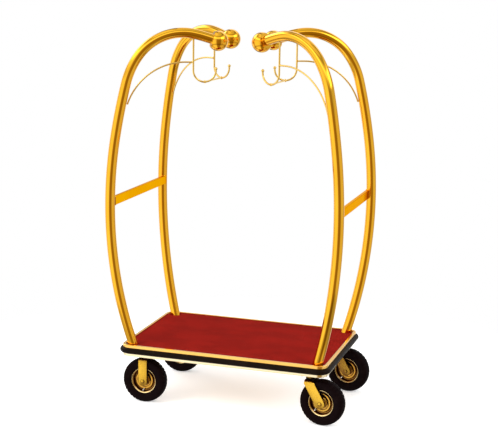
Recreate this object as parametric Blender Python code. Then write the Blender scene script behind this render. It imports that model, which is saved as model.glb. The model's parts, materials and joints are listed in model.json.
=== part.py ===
"""Hotel luggage cart: a carpeted deck on four wheels under four arched tubes.

Metres, +Z up. The origin is on the floor under the middle of the deck.
+X points to the end with the swivel wheels, -Y to the front side.
The four uprights stand near the deck's corners, each bent in a vertical
plane of its own that leads back towards the middle of the cart.
"""
import math
from collections import namedtuple

import bmesh
import bpy
from mathutils import Matrix, Vector

GAP = 0.0003

# Deck
DECK_HALF_LENGTH = 0.5136
DECK_HALF_WIDTH = 0.3277
DECK_CORNER_RADIUS = 0.045
CORNER_STEPS = 5
DECK_TOP = 0.300
DECK_BOTTOM = 0.2450
LIP_DEPTH = 0.010
WEB_THICKNESS = 0.003
UPPER_LIP_HEIGHT = 0.015
LOWER_LIP_HEIGHT = 0.0135
LEDGE_WIDTH = 0.019
LEDGE_THICKNESS = 0.003
BOARD_BOTTOM = 0.2785
BOARD_TOP = 0.2905
CARPET_TOP = 0.2965
BUMPER_PROUD = 0.014
BUMPER_STEPS = 6
EDGE_BREAK = 0.001
RAIL_WIDTH = 0.082
RAIL_WALL = 0.002

# Uprights: start of the tube, its lean and its bends as (radius, degrees)
UPRIGHT_X = 0.4629
UPRIGHT_Y = 0.2854
UPRIGHT_PLANE_DEG = 28.4
UPRIGHT_LEAN_DEG = 17.5
UPRIGHT_BENDS = ((2.172, 26.3), (2.90, 5.25), (0.371, 22.65), (0.2544, 64.7), (0.56, 5.4))
UPRIGHT_START_STRAIGHT = 0.023
UPRIGHT_END_STRAIGHT = 0.035
UPRIGHT_START_Z = 0.2958
TUBE_RADIUS = 0.0238
TUBE_WALL = 0.0015
TUBE_SIDES = 10
BEND_STEP_DEG = 7.2
GENTLE_BEND_STEP_DEG = 3.3
GENTLE_BEND_RADIUS = 1.0
FOOT_HOLE_RADIUS = 0.0275
FOOT_HOLE_SIDES = 14
FOOT_HOLE_REACH = 0.01

# Ball finials
BALL_RADIUS = 0.0476
BALL_WALL = 0.002
BALL_POLE_DEG = 12
BALL_STEPS = 7
BALL_INNER_POLE_DEG = 20
BALL_INNER_STEPS = 4
BALL_CENTRE_PAST_TUBE = 0.0334
SHANK_RADIUS = 0.0205
SHANK_BORE = 0.0175
SHANK_LENGTH = 0.025
BALL_SIDES = 12

# Coat hooks, their braces and the links between them
HOOK_S = -0.287
HOOK_TOP = 1.7662
HOOK_BEND_Z = 1.622
HOOK_BEND_RADIUS = 0.054
HOOK_ROD_RADIUS = 0.0045
HOOK_TIP_RADIUS = 0.0075
HOOK_BEND_STEPS = 10
HOOK_TIP_TURNS_DEG = (35, 70, 110, 150)
BRACE_Z = 1.661
BRACE_BEND_START_S = -0.250
BRACE_BEND_RADIUS = 0.288
BRACE_BEND_DEG = 71.0
BRACE_STEP_DEG = 8.0
BRACE_ROD_RADIUS = 0.0040
LINK_END_CLEARANCE = 0.0077
ROD_SIDES = 8

# Push bars
PUSH_BAR_X = 0.543
PUSH_BAR_Z = 1.006
PUSH_BAR_HEIGHT = 0.042
PUSH_BAR_THICKNESS = 0.020
PUSH_BAR_WALL = 0.0018
COPE_SIDES = 32
PUSH_BAR_HALF_LENGTH = 0.326
COPE_CLEARANCE = 0.0008

# Casters
RIGID_X = -0.414
RIGID_Y = 0.2494
SWIVEL_X = 0.4277
SWIVEL_Y = 0.2587
SWIVEL_TRAIL = 0.0618
SWIVEL_HEADING_DEG = -9.0
WHEEL_RADIUS = 0.110
PLATE_LENGTH_X = 0.084
PLATE_LENGTH_Y = 0.104
PLATE_CORNER = 0.008
PLATE_CORNER_STEPS = 3
PLATE_TOP = DECK_BOTTOM - GAP
PLATE_BOTTOM = 0.2407
BOSS_RADIUS = 0.0235
BOSS_SIDES = 18
RIGID_CROWN_TOP = 0.2265
SWIVEL_CROWN_TOP = 0.2170
FORK_THICKNESS = 0.0045
FORK_INNER_HALF = 0.033
FORK_BEND_RADIUS = 0.016
FORK_BEND_STEPS = 4
FORK_END_TURNS_DEG = (25, 50, 70, 84)
RIGID_LEG_HALF_WIDTH = 0.022
SWIVEL_LEG_HALF_WIDTH = 0.024
SWIVEL_LEG_OFFSET = 0.007
SWIVEL_CROWN_BACK = 0.020
SWIVEL_CROWN_FRONT = 0.016
AXLE_RADIUS = 0.005
AXLE_HOLE_RADIUS = 0.0055
AXLE_HEAD_RADIUS = 0.009
AXLE_HEAD_HEIGHT = 0.0038
AXLE_HEAD_RIM_SHARE = 0.4
AXLE_HEAD_FACE_SHARE = 0.6
PIN_SIDES = 12
RACEWAY_BOTTOM = 0.2222
SEAL_BOTTOM = SWIVEL_CROWN_TOP + GAP
SEAL_RADIUS = 0.0250
SEAL_BORE_SHARE = 0.6
KINGPIN_RADIUS = 0.006
KINGPIN_HOLE_RADIUS = 0.0066
KINGPIN_HEAD_RADIUS = 0.0085
KINGPIN_BOTTOM = 0.2095

# Wheels
TYRE_SEGMENTS = 24
TREAD_HALF = 0.0130
SHOULDER_RADIUS = 0.1065
SHOULDER_HALF = 0.0225
SIDEWALL_RADIUS = 0.0920
TYRE_HALF_WIDTH = 0.0300
LOWER_WALL_RADIUS = 0.0720
LOWER_WALL_HALF = 0.0275
BEAD_CLEARANCE = 0.0013
BEAD_HALF = 0.0172
BEAD_STEP = 0.0027
BEAD_OPENING_HALF = 0.0100
CAVITY_RADIUS = 0.0950
CAVITY_HALF = 0.0180
RIM_SEGMENTS = 16
HUB_BORE_RADIUS = 0.0096
HUB_RADIUS = 0.0165
HUB_HALF_LENGTH = 0.029
DISC_RADIUS = 0.0460
DISC_HALF = 0.0030
WELL_RADIUS = 0.0520
WELL_HALF = 0.0195
BEAD_SEAT_RADIUS = 0.0560
FLANGE_RADIUS = 0.0634
FLANGE_HALF = 0.0225
FLANGE_THICKNESS = 0.0020
BEARING_RADIUS = 0.0090
BEARING_BORE_RADIUS = 0.0056
BEARING_HALF_LENGTH = 0.0325
BEARING_SIDES = 14
VALVE_RADIUS = 0.003
VALVE_OFFSET = 0.0465
VALVE_START = 0.0150
VALVE_END = 0.0290
VALVE_TAPER = 0.002
VALVE_TIP_SHARE = 0.6

CORNERS = {
    "front_left": (-1, -1),
    "rear_left": (-1, 1),
    "front_right": (1, -1),
    "rear_right": (1, 1),
}
VALVE_ANGLE_DEG = {"front_left": -92, "rear_left": -60, "front_right": -128, "rear_right": -124}

# Finishes: base colour, roughness, metallic
GOLD = ((0.83, 0.56, 0.10), 0.16, 1.0)
STEEL = ((0.62, 0.60, 0.56), 0.35, 1.0)
DARK_STEEL = ((0.08, 0.08, 0.08), 0.45, 0.6)
PLYWOOD = ((0.45, 0.30, 0.16), 0.7, 0.0)
CARPET = ((0.29, 0.012, 0.010), 0.95, 0.0)
RUBBER = ((0.012, 0.012, 0.013), 0.55, 0.0)


# ---------------------------------------------------------------- mesh tools

def skin(rings, loop=False):
    """Join equal rings of points into one closed mesh, capped unless looped."""
    mesh = bmesh.new()
    vert_rings = [[mesh.verts.new(point) for point in ring] for ring in rings]
    pairs = list(zip(vert_rings, vert_rings[1:]))
    if loop:
        pairs.append((vert_rings[-1], vert_rings[0]))
    for low, high in pairs:
        for i in range(len(low)):
            j = (i + 1) % len(low)
            mesh.faces.new((low[i], low[j], high[j], high[i]))
    if not loop:
        mesh.faces.new(reversed(vert_rings[0]))
        mesh.faces.new(vert_rings[-1])
    bmesh.ops.recalc_face_normals(mesh, faces=mesh.faces)
    return mesh


def circle(radius, sides, phase=0.0):
    """Points of a circle about the origin in the XY plane."""
    step = 2 * math.pi / sides
    return [
        (radius * math.cos(phase + i * step), radius * math.sin(phase + i * step))
        for i in range(sides)
    ]


def turned(profile, sides, loop=False, phase=0.0):
    """Turn a profile of (radius, height) points about Z."""
    rings = [
        [Vector((x, y, height)) for x, y in circle(radius, sides, phase)]
        for radius, height in profile
    ]
    return skin(rings, loop)


def turned_about_y(profile, sides, loop=False, phase=0.0):
    """Turn a profile of (radius, offset) points about the Y axis."""
    mesh = turned(profile, sides, loop, phase)
    bmesh.ops.rotate(mesh, verts=mesh.verts, cent=(0, 0, 0), matrix=Matrix.Rotation(math.pi / 2, 3, "X"))
    return mesh


def rounded_outline(half_x, half_y, radius, steps):
    """Points of a rounded rectangle, each with its outward normal."""
    outline = []
    for quarter in range(4):
        sign_x = (1, -1, -1, 1)[quarter]
        sign_y = (1, 1, -1, -1)[quarter]
        centre = Vector((sign_x * (half_x - radius), sign_y * (half_y - radius), 0))
        for i in range(steps + 1):
            angle = math.pi / 2 * (quarter + i / steps)
            normal = Vector((math.cos(angle), math.sin(angle), 0))
            outline.append((centre + radius * normal, normal))
    return outline


def rounded_slab(half_x, half_y, radius, steps, bottom, top):
    """A flat slab with rounded corners."""
    outline = rounded_outline(half_x, half_y, radius, steps)
    rings = [[point + Vector((0, 0, z)) for point, _ in outline] for z in (bottom, top)]
    return skin(rings)


def deck_extrusion(section):
    """Run a closed section of (inward offset, height) points round the deck."""
    outline = rounded_outline(
        DECK_HALF_LENGTH, DECK_HALF_WIDTH, DECK_CORNER_RADIUS, CORNER_STEPS
    )
    rings = [
        [point - normal * inward + Vector((0, 0, height)) for inward, height in section]
        for point, normal in outline
    ]
    return skin(rings, loop=True)


def box_tube(half_length, half_width, bottom, top, wall):
    """A rectangular tube along Y with open ends."""
    def ring(y, inset):
        side = half_width - inset
        low = bottom + inset
        high = top - inset
        return [Vector((x, y, z)) for x, z in ((-side, low), (side, low), (side, high), (-side, high))]

    return skin(
        [ring(-half_length, 0), ring(half_length, 0), ring(half_length, wall), ring(-half_length, wall)],
        loop=True,
    )


# ------------------------------------------------------------- scene objects

def clear_scene():
    for thing in list(bpy.data.objects):
        bpy.data.objects.remove(thing, do_unlink=True)


def make_finish(name, finish):
    colour, roughness, metallic = finish
    material = bpy.data.materials.new(name)
    material.use_nodes = True
    shader = material.node_tree.nodes["Principled BSDF"]
    shader.inputs["Base Color"].default_value = (*colour, 1.0)
    shader.inputs["Roughness"].default_value = roughness
    shader.inputs["Metallic"].default_value = metallic
    material.diffuse_color = (*colour, 1.0)
    return material


def add_piece(name, mesh, finish, parent=None, matrix=None):
    """Put one closed mesh in the scene as a named piece with its own finish."""
    data = bpy.data.meshes.new(name)
    mesh.to_mesh(data)
    mesh.free()
    data.shade_smooth()
    data.set_sharp_from_angle(angle=math.radians(35))
    piece = bpy.data.objects.new(name, data)
    bpy.context.collection.objects.link(piece)
    data.materials.append(make_finish(name + "_finish", finish))
    piece.parent = parent
    if matrix is not None:
        piece.matrix_local = matrix
    return piece


def add_guide(name, location, heading_deg=0.0, parent=None):
    """An empty on a joint's axis."""
    guide = bpy.data.objects.new(name, None)
    bpy.context.collection.objects.link(guide)
    guide.parent = parent
    guide.location = location
    guide.rotation_euler = (0, 0, math.radians(heading_deg))
    return guide


def apply_tool(piece, mesh, operation, matrix=None):
    """Cut a tool shape out of a piece, or join it on."""
    data = bpy.data.meshes.new(piece.name + "_tool")
    mesh.to_mesh(data)
    mesh.free()
    tool = bpy.data.objects.new(data.name, data)
    bpy.context.collection.objects.link(tool)
    tool.parent = piece.parent
    if matrix is not None:
        tool.matrix_local = matrix
    tool.hide_render = True
    tool.display_type = "WIRE"
    modifier = piece.modifiers.new(data.name, "BOOLEAN")
    modifier.operation = operation
    modifier.solver = "EXACT"
    modifier.object = tool


# ------------------------------------------------------------------ the deck

def add_deck():
    inner = LIP_DEPTH + WEB_THICKNESS
    ledge_top = BOARD_BOTTOM - GAP
    upper_edge = DECK_TOP - UPPER_LIP_HEIGHT
    lower_edge = DECK_BOTTOM + LOWER_LIP_HEIGHT
    frame_section = [
        (0.0, DECK_TOP - EDGE_BREAK),
        (EDGE_BREAK, DECK_TOP),
        (inner - EDGE_BREAK, DECK_TOP),
        (inner, DECK_TOP - EDGE_BREAK),
        (inner, ledge_top),
        (inner + LEDGE_WIDTH, ledge_top),
        (inner + LEDGE_WIDTH, ledge_top - LEDGE_THICKNESS),
        (inner, ledge_top - LEDGE_THICKNESS),
        (inner, lower_edge - WEB_THICKNESS),
        (WEB_THICKNESS, lower_edge - WEB_THICKNESS),
        (WEB_THICKNESS, DECK_BOTTOM),
        (EDGE_BREAK, DECK_BOTTOM),
        (0.0, DECK_BOTTOM + EDGE_BREAK),
        (0.0, lower_edge - EDGE_BREAK),
        (EDGE_BREAK, lower_edge),
        (LIP_DEPTH, lower_edge),
        (LIP_DEPTH, upper_edge),
        (EDGE_BREAK, upper_edge),
        (0.0, upper_edge + EDGE_BREAK),
    ]
    add_piece("deck_frame", deck_extrusion(frame_section), GOLD)

    bumper = deck_extrusion(bumper_section(lower_edge + GAP, upper_edge - GAP))
    add_piece("deck_bumper", bumper, RUBBER)

    board_x = DECK_HALF_LENGTH - inner - GAP
    board_y = DECK_HALF_WIDTH - inner - GAP
    corner = DECK_CORNER_RADIUS - inner - GAP
    board = rounded_slab(board_x, board_y, corner, CORNER_STEPS, BOARD_BOTTOM, BOARD_TOP)
    add_piece("deck_board", board, PLYWOOD)
    carpet = rounded_slab(board_x, board_y, corner, CORNER_STEPS, BOARD_TOP + GAP, CARPET_TOP)
    add_piece("deck_carpet", carpet, CARPET)
    for corner_name in CORNERS:
        cut_foot_hole(bpy.data.objects["deck_carpet"], corner_name)

    rail_half_length = DECK_HALF_WIDTH - inner - LEDGE_WIDTH - GAP
    for side, x in (("left", RIGID_X), ("right", SWIVEL_X)):
        rail = box_tube(
            rail_half_length, RAIL_WIDTH / 2, DECK_BOTTOM + GAP, BOARD_BOTTOM - GAP, RAIL_WALL
        )
        add_piece("cross_rail_" + side, rail, STEEL, matrix=Matrix.Translation((x, 0, 0)))


def bumper_section(low, high):
    """A D-shaped rubber strip: flat back in the channel, half-oval front."""
    middle = (low + high) / 2
    half = (high - low) / 2
    back = LIP_DEPTH - GAP
    section = [(back, low), (back, high)]
    for i in range(BUMPER_STEPS + 1):
        angle = math.pi / 2 - math.pi * i / BUMPER_STEPS
        section.append((-BUMPER_PROUD * math.cos(angle), middle + half * math.sin(angle)))
    return section


def cut_foot_hole(carpet, corner_name):
    """The hole in the carpet where a tube passes through to the board."""
    sign_x, sign_y = CORNERS[corner_name]
    hole = [(FOOT_HOLE_RADIUS, -FOOT_HOLE_REACH), (FOOT_HOLE_RADIUS, FOOT_HOLE_REACH)]
    cutter = turned(hole, FOOT_HOLE_SIDES)
    place = Matrix.Translation((sign_x * UPRIGHT_X, sign_y * UPRIGHT_Y, CARPET_TOP))
    apply_tool(carpet, cutter, "DIFFERENCE", place)


# -------------------------------------------------------------- the uprights

def bend_path(start_s, start_z, lean_deg, straight, bends, steep_step, gentle_step):
    """Stations (s, z, angle from vertical) along a tube bent in one plane.

    A bend with positive degrees turns up and inwards, a negative one down.
    """
    angle = math.radians(lean_deg)
    s = start_s
    z = start_z
    stations = [(s, z, angle)]
    s += straight * math.sin(angle)
    z += straight * math.cos(angle)
    stations.append((s, z, angle))
    for radius, degrees in bends:
        step_limit = gentle_step if radius > GENTLE_BEND_RADIUS else steep_step
        steps = max(1, round(abs(degrees) / step_limit))
        step = math.radians(degrees) / steps
        chord = 2 * radius * math.sin(abs(step) / 2)
        for _ in range(steps):
            s += chord * math.sin(angle - step / 2)
            z += chord * math.cos(angle - step / 2)
            angle -= step
            stations.append((s, z, angle))
    return stations


def plane_axes(corner_name):
    """Foot point and outward direction of one upright's plane."""
    sign_x, sign_y = CORNERS[corner_name]
    turn = math.radians(UPRIGHT_PLANE_DEG)
    outward = Vector((sign_x * math.cos(turn), sign_y * math.sin(turn), 0))
    foot = Vector((sign_x * UPRIGHT_X, sign_y * UPRIGHT_Y, 0))
    return foot, outward


def section_ring(foot, outward, station, radius, sides):
    """A circle square to the path at one station."""
    s, z, angle = station
    centre = foot + outward * s + Vector((0, 0, z))
    across = outward * math.cos(angle) - Vector((0, 0, math.sin(angle)))
    side = Vector((0, 0, 1)).cross(outward)
    return [centre + across * x + side * y for x, y in circle(radius, sides)]


def level_ring(ring, station, outward, height):
    """Slide a ring's points along the tube until they lie at one height."""
    angle = station[2]
    along = outward * math.sin(angle) + Vector((0, 0, math.cos(angle)))
    return [point + along * ((height - point.z) / along.z) for point in ring]


def upright_stations():
    """The tube's path, with a straight end that takes the ball's shank."""
    stations = bend_path(
        0.0, UPRIGHT_START_Z, UPRIGHT_LEAN_DEG, UPRIGHT_START_STRAIGHT,
        UPRIGHT_BENDS, BEND_STEP_DEG, GENTLE_BEND_STEP_DEG,
    )
    s, z, angle = stations[-1]
    end_s = s + UPRIGHT_END_STRAIGHT * math.sin(angle)
    end_z = z + UPRIGHT_END_STRAIGHT * math.cos(angle)
    return stations + [(end_s, end_z, angle)]


def upright_mesh(corner_name):
    """A hollow tube, cut level at its foot and open at both ends."""
    foot, outward = plane_axes(corner_name)
    stations = upright_stations()
    outer = [section_ring(foot, outward, st, TUBE_RADIUS, TUBE_SIDES) for st in stations]
    inner = [section_ring(foot, outward, st, TUBE_RADIUS - TUBE_WALL, TUBE_SIDES) for st in stations]
    foot_height = BOARD_TOP + GAP
    outer[0] = level_ring(outer[0], stations[0], outward, foot_height)
    inner[0] = level_ring(inner[0], stations[0], outward, foot_height)
    return skin(outer + inner[::-1], loop=True)


def arc_points(radius, start_deg, end_deg, steps, centre=0.0):
    """(radius, height) points of an arc measured from the pole."""
    points = []
    for i in range(steps + 1):
        angle = math.radians(start_deg + (end_deg - start_deg) * i / steps)
        points.append((radius * math.sin(angle), centre + radius * math.cos(angle)))
    return points


def ball_mesh():
    """A hollow ball with an open shank that plugs the tube; Z runs out of the tube."""
    seat = -BALL_CENTRE_PAST_TUBE + GAP
    seat_deg = math.degrees(math.acos(seat / BALL_RADIUS))
    inner_radius = BALL_RADIUS - BALL_WALL
    floor = seat + BALL_WALL
    floor_deg = math.degrees(math.acos(floor / inner_radius))
    profile = arc_points(BALL_RADIUS, BALL_POLE_DEG, seat_deg, BALL_STEPS)
    profile += [(SHANK_RADIUS, seat), (SHANK_RADIUS, seat - SHANK_LENGTH)]
    profile += [(SHANK_BORE, seat - SHANK_LENGTH), (SHANK_BORE, floor)]
    profile += arc_points(inner_radius, floor_deg, BALL_INNER_POLE_DEG, BALL_INNER_STEPS)
    return turned(profile, BALL_SIDES)


def ball_matrix(corner_name):
    """Place the ball's centre just past the tube's end, in line with it."""
    foot, outward = plane_axes(corner_name)
    s, z, angle = upright_stations()[-1]
    along = outward * math.sin(angle) + Vector((0, 0, math.cos(angle)))
    centre = foot + outward * s + Vector((0, 0, z)) + along * BALL_CENTRE_PAST_TUBE
    turn = Vector((0, 0, 1)).rotation_difference(along).to_matrix().to_4x4()
    return Matrix.Translation(centre) @ turn


def add_uprights():
    for corner_name in CORNERS:
        add_piece("upright_" + corner_name, upright_mesh(corner_name), GOLD)
        add_piece("ball_finial_" + corner_name, ball_mesh(), GOLD, matrix=ball_matrix(corner_name))


# --------------------------------------------------------------- coat hooks

def hook_stations():
    """Down the rod, round the bend and up to the tip, as (s, z, angle) with a radius."""
    down = math.pi
    stations = [((HOOK_S, HOOK_TOP, down), HOOK_ROD_RADIUS)]
    for i in range(HOOK_BEND_STEPS + 1):
        turn = math.pi * i / HOOK_BEND_STEPS
        s = HOOK_S - HOOK_BEND_RADIUS * (1 - math.cos(turn))
        z = HOOK_BEND_Z - HOOK_BEND_RADIUS * math.sin(turn)
        stations.append(((s, z, down + turn), HOOK_ROD_RADIUS))
    tip_s = HOOK_S - 2 * HOOK_BEND_RADIUS
    for turn_deg in HOOK_TIP_TURNS_DEG:
        turn = math.radians(turn_deg)
        z = HOOK_BEND_Z + HOOK_TIP_RADIUS * (1 - math.cos(turn))
        stations.append(((tip_s, z, 2 * math.pi), HOOK_TIP_RADIUS * math.sin(turn)))
    return stations


def hook_mesh(corner_name):
    foot, outward = plane_axes(corner_name)
    rings = [
        section_ring(foot, outward, station, radius, ROD_SIDES)
        for station, radius in hook_stations()
    ]
    return skin(rings)


def brace_mesh(corner_name):
    """A rod from the hook's stem, over a wide bend, down to the upright."""
    foot, outward = plane_axes(corner_name)
    start_s = HOOK_S + HOOK_ROD_RADIUS + GAP
    stations = bend_path(
        start_s, BRACE_Z, 90, BRACE_BEND_START_S - start_s,
        ((BRACE_BEND_RADIUS, -BRACE_BEND_DEG),), BRACE_STEP_DEG, BRACE_STEP_DEG,
    )
    rings = [section_ring(foot, outward, st, BRACE_ROD_RADIUS, ROD_SIDES) for st in stations]
    return skin(rings)


def add_hooks():
    for corner_name in CORNERS:
        add_piece("hook_" + corner_name, hook_mesh(corner_name), GOLD)
        add_piece("hook_brace_" + corner_name, brace_mesh(corner_name), GOLD)
    turn = math.radians(UPRIGHT_PLANE_DEG)
    bottom_s = HOOK_S - HOOK_BEND_RADIUS
    link_x = UPRIGHT_X + bottom_s * math.cos(turn)
    link_y = UPRIGHT_Y + bottom_s * math.sin(turn) - LINK_END_CLEARANCE
    for side, sign in (("left", -1), ("right", 1)):
        link = turned_about_y([(BRACE_ROD_RADIUS, -link_y), (BRACE_ROD_RADIUS, link_y)], ROD_SIDES)
        place = Matrix.Translation((sign * link_x, 0, HOOK_BEND_Z - HOOK_BEND_RADIUS))
        add_piece("hook_link_" + side, link, GOLD, matrix=place)


def tube_centre(corner_name, height):
    """The middle of one upright's tube where it passes a height below its bends."""
    foot, outward = plane_axes(corner_name)
    stations = upright_stations()
    for (low_s, low_z, _), (high_s, high_z, _) in zip(stations, stations[1:]):
        if low_z <= height <= high_z:
            s = low_s + (high_s - low_s) * (height - low_z) / (high_z - low_z)
            return foot + outward * s + Vector((0, 0, height))
    raise ValueError("no tube at that height")


def add_push_bars():
    """Two rectangular tubes, their ends coped to sit against the uprights."""
    for side, sign in (("left", -1), ("right", 1)):
        bar_mesh = box_tube(
            PUSH_BAR_HALF_LENGTH, PUSH_BAR_THICKNESS / 2,
            -PUSH_BAR_HEIGHT / 2, PUSH_BAR_HEIGHT / 2, PUSH_BAR_WALL,
        )
        place = Matrix.Translation((sign * PUSH_BAR_X, 0, PUSH_BAR_Z))
        bar = add_piece("push_bar_" + side, bar_mesh, GOLD, matrix=place)
        cope_radius = TUBE_RADIUS + COPE_CLEARANCE
        cope = [(cope_radius, -PUSH_BAR_HEIGHT), (cope_radius, PUSH_BAR_HEIGHT)]
        for end in ("front", "rear"):
            centre = tube_centre(end + "_" + side, PUSH_BAR_Z)
            apply_tool(bar, turned(cope, COPE_SIDES), "DIFFERENCE", Matrix.Translation(centre))


# ------------------------------------------------------------------- casters

# One fork, measured from the seat's centre: the crown's top and its reach back
# and forward, the legs' half width, where they leave the crown, and the trail.
ForkShape = namedtuple("ForkShape", "crown_top crown_back crown_front half_width leg_offset trail")
RIGID_FORK = ForkShape(
    RIGID_CROWN_TOP, RIGID_LEG_HALF_WIDTH, RIGID_LEG_HALF_WIDTH, RIGID_LEG_HALF_WIDTH, 0.0, 0.0
)
SWIVEL_FORK = ForkShape(
    SWIVEL_CROWN_TOP, SWIVEL_CROWN_BACK, SWIVEL_CROWN_FRONT,
    SWIVEL_LEG_HALF_WIDTH, SWIVEL_LEG_OFFSET, SWIVEL_TRAIL,
)


def leg_edges(z, shape):
    """Both edges, in X, of a fork leg at height z: a strip with a round end at the axle."""
    leg_top = shape.crown_top - FORK_THICKNESS / 2 - FORK_BEND_RADIUS
    top = Vector((shape.leg_offset, leg_top))
    end = Vector((shape.trail, WHEEL_RADIUS))
    along = (end - top).normalized()
    across = Vector((-along.y, along.x))
    edges = []
    for sign in (-1, 1):
        tangent = end + across * (sign * shape.half_width)
        if z >= tangent.y:
            edges.append(tangent.x + (z - tangent.y) * along.x / along.y)
        else:
            drop = min(shape.half_width, abs(z - end.y))
            edges.append(end.x + sign * math.sqrt(shape.half_width ** 2 - drop ** 2))
    return edges


def fork_stations(shape):
    """(y, z, direction, x edges) from the crown down one leg."""
    mid_y = FORK_INNER_HALF + FORK_THICKNESS / 2
    mid_z = shape.crown_top - FORK_THICKNESS / 2
    bend_y = mid_y - FORK_BEND_RADIUS
    bend_z = mid_z - FORK_BEND_RADIUS
    leg_low, leg_high = leg_edges(bend_z, shape)
    stations = []
    for i in range(FORK_BEND_STEPS + 1):
        angle = math.pi / 2 * i / FORK_BEND_STEPS
        y = bend_y + FORK_BEND_RADIUS * math.sin(angle)
        z = bend_z + FORK_BEND_RADIUS * math.cos(angle)
        to_crown = 1 - i / FORK_BEND_STEPS
        low = leg_low + (-shape.crown_back - leg_low) * to_crown
        high = leg_high + (shape.crown_front - leg_high) * to_crown
        stations.append((y, z, angle, (low, high)))
    heights = [WHEEL_RADIUS + shape.half_width, WHEEL_RADIUS]
    for turn_deg in FORK_END_TURNS_DEG:
        heights.append(WHEEL_RADIUS - shape.half_width * math.sin(math.radians(turn_deg)))
    for z in heights:
        stations.append((mid_y, z, math.pi / 2, leg_edges(z, shape)))
    return stations


def fork_mesh(shape):
    """A strip bent down at both ends of its crown."""
    leg = fork_stations(shape)
    both = [(-y, z, -angle, edges) for y, z, angle, edges in reversed(leg)] + leg
    rings = []
    half = FORK_THICKNESS / 2
    for y, z, angle, (low_x, high_x) in both:
        out_y = math.sin(angle) * half
        out_z = math.cos(angle) * half
        rings.append([
            Vector((low_x, y - out_y, z - out_z)),
            Vector((high_x, y - out_y, z - out_z)),
            Vector((high_x, y + out_y, z + out_z)),
            Vector((low_x, y + out_y, z + out_z)),
        ])
    return skin(rings)


def axle_hole_mesh():
    reach = FORK_INNER_HALF + 3 * FORK_THICKNESS
    return turned_about_y([(AXLE_HOLE_RADIUS, -reach), (AXLE_HOLE_RADIUS, reach)], PIN_SIDES)


def axle_mesh():
    """A pin across the fork with a low domed head at each end."""
    face = FORK_INNER_HALF + FORK_THICKNESS + GAP
    head = [
        (AXLE_RADIUS, face),
        (AXLE_HEAD_RADIUS, face),
        (AXLE_HEAD_RADIUS, face + AXLE_HEAD_HEIGHT * AXLE_HEAD_RIM_SHARE),
        (AXLE_HEAD_RADIUS * AXLE_HEAD_FACE_SHARE, face + AXLE_HEAD_HEIGHT),
    ]
    mirrored = [(radius, -offset) for radius, offset in reversed(head)]
    return turned_about_y(mirrored + head, PIN_SIDES)


def plate_mesh():
    return rounded_slab(
        PLATE_LENGTH_X / 2, PLATE_LENGTH_Y / 2, PLATE_CORNER, PLATE_CORNER_STEPS, PLATE_BOTTOM, PLATE_TOP
    )


def add_rigid_caster(end, sign_y):
    corner_name = end + "_left"
    seat = add_guide("rigid_seat_" + end, (RIGID_X, sign_y * RIGID_Y, 0))
    plate = add_piece("caster_plate_" + corner_name, plate_mesh(), GOLD, seat)
    boss_low = RIGID_CROWN_TOP + GAP
    boss_high = (PLATE_BOTTOM + PLATE_TOP) / 2
    apply_tool(plate, turned([(BOSS_RADIUS, boss_low), (BOSS_RADIUS, boss_high)], BOSS_SIDES), "UNION")
    fork = add_piece("rigid_fork_" + end, fork_mesh(RIGID_FORK), GOLD, seat)
    to_axle = Matrix.Translation((0, 0, WHEEL_RADIUS))
    apply_tool(fork, axle_hole_mesh(), "DIFFERENCE", to_axle)
    add_piece("axle_" + corner_name, axle_mesh(), GOLD, seat, to_axle)
    add_wheel(corner_name, seat, 0.0)


def add_swivel_caster(end, sign_y):
    corner_name = end + "_right"
    seat = add_guide("swivel_seat_" + end, (SWIVEL_X, sign_y * SWIVEL_Y, 0))
    plate = add_piece("caster_plate_" + corner_name, plate_mesh(), GOLD, seat)
    pin_hole = [(KINGPIN_HOLE_RADIUS, KINGPIN_BOTTOM), (KINGPIN_HOLE_RADIUS, DECK_TOP)]
    apply_tool(plate, turned(pin_hole, PIN_SIDES), "DIFFERENCE")
    add_swivel_bearing(end, seat)

    pivot = add_guide("swivel_pivot_" + end, (0, 0, 0), SWIVEL_HEADING_DEG, seat)
    fork = add_piece("swivel_fork_" + end, fork_mesh(SWIVEL_FORK), GOLD, pivot)
    to_axle = Matrix.Translation((SWIVEL_TRAIL, 0, WHEEL_RADIUS))
    apply_tool(fork, axle_hole_mesh(), "DIFFERENCE", to_axle)
    apply_tool(fork, turned(pin_hole, PIN_SIDES), "DIFFERENCE")
    add_piece("axle_" + corner_name, axle_mesh(), GOLD, pivot, to_axle)
    add_wheel(corner_name, pivot, SWIVEL_TRAIL)


def add_swivel_bearing(end, seat):
    """Raceway, black seal ring and kingpin between the plate and the fork's crown."""
    raceway = [
        (KINGPIN_HOLE_RADIUS, PLATE_BOTTOM - GAP),
        (BOSS_RADIUS, PLATE_BOTTOM - GAP),
        (BOSS_RADIUS, RACEWAY_BOTTOM),
        (KINGPIN_HOLE_RADIUS, RACEWAY_BOTTOM),
    ]
    add_piece("swivel_raceway_" + end, turned(raceway, BOSS_SIDES, loop=True), GOLD, seat)
    seal_inner = BOSS_RADIUS * SEAL_BORE_SHARE
    seal = [
        (seal_inner, RACEWAY_BOTTOM - GAP),
        (SEAL_RADIUS, RACEWAY_BOTTOM - GAP),
        (SEAL_RADIUS, SEAL_BOTTOM),
        (seal_inner, SEAL_BOTTOM),
    ]
    add_piece("swivel_seal_" + end, turned(seal, BOSS_SIDES, loop=True), RUBBER, seat)
    head_top = SWIVEL_CROWN_TOP - FORK_THICKNESS - GAP
    kingpin = [
        (KINGPIN_HEAD_RADIUS, KINGPIN_BOTTOM),
        (KINGPIN_HEAD_RADIUS, head_top),
        (KINGPIN_RADIUS, head_top),
        (KINGPIN_RADIUS, PLATE_TOP),
    ]
    add_piece("kingpin_" + end, turned(kingpin, PIN_SIDES), DARK_STEEL, seat)


# -------------------------------------------------------------------- wheels

def both_sides(half_profile):
    """Mirror a profile of (radius, offset) points to the other side of the wheel."""
    return half_profile + [(radius, -offset) for radius, offset in reversed(half_profile)]


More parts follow.
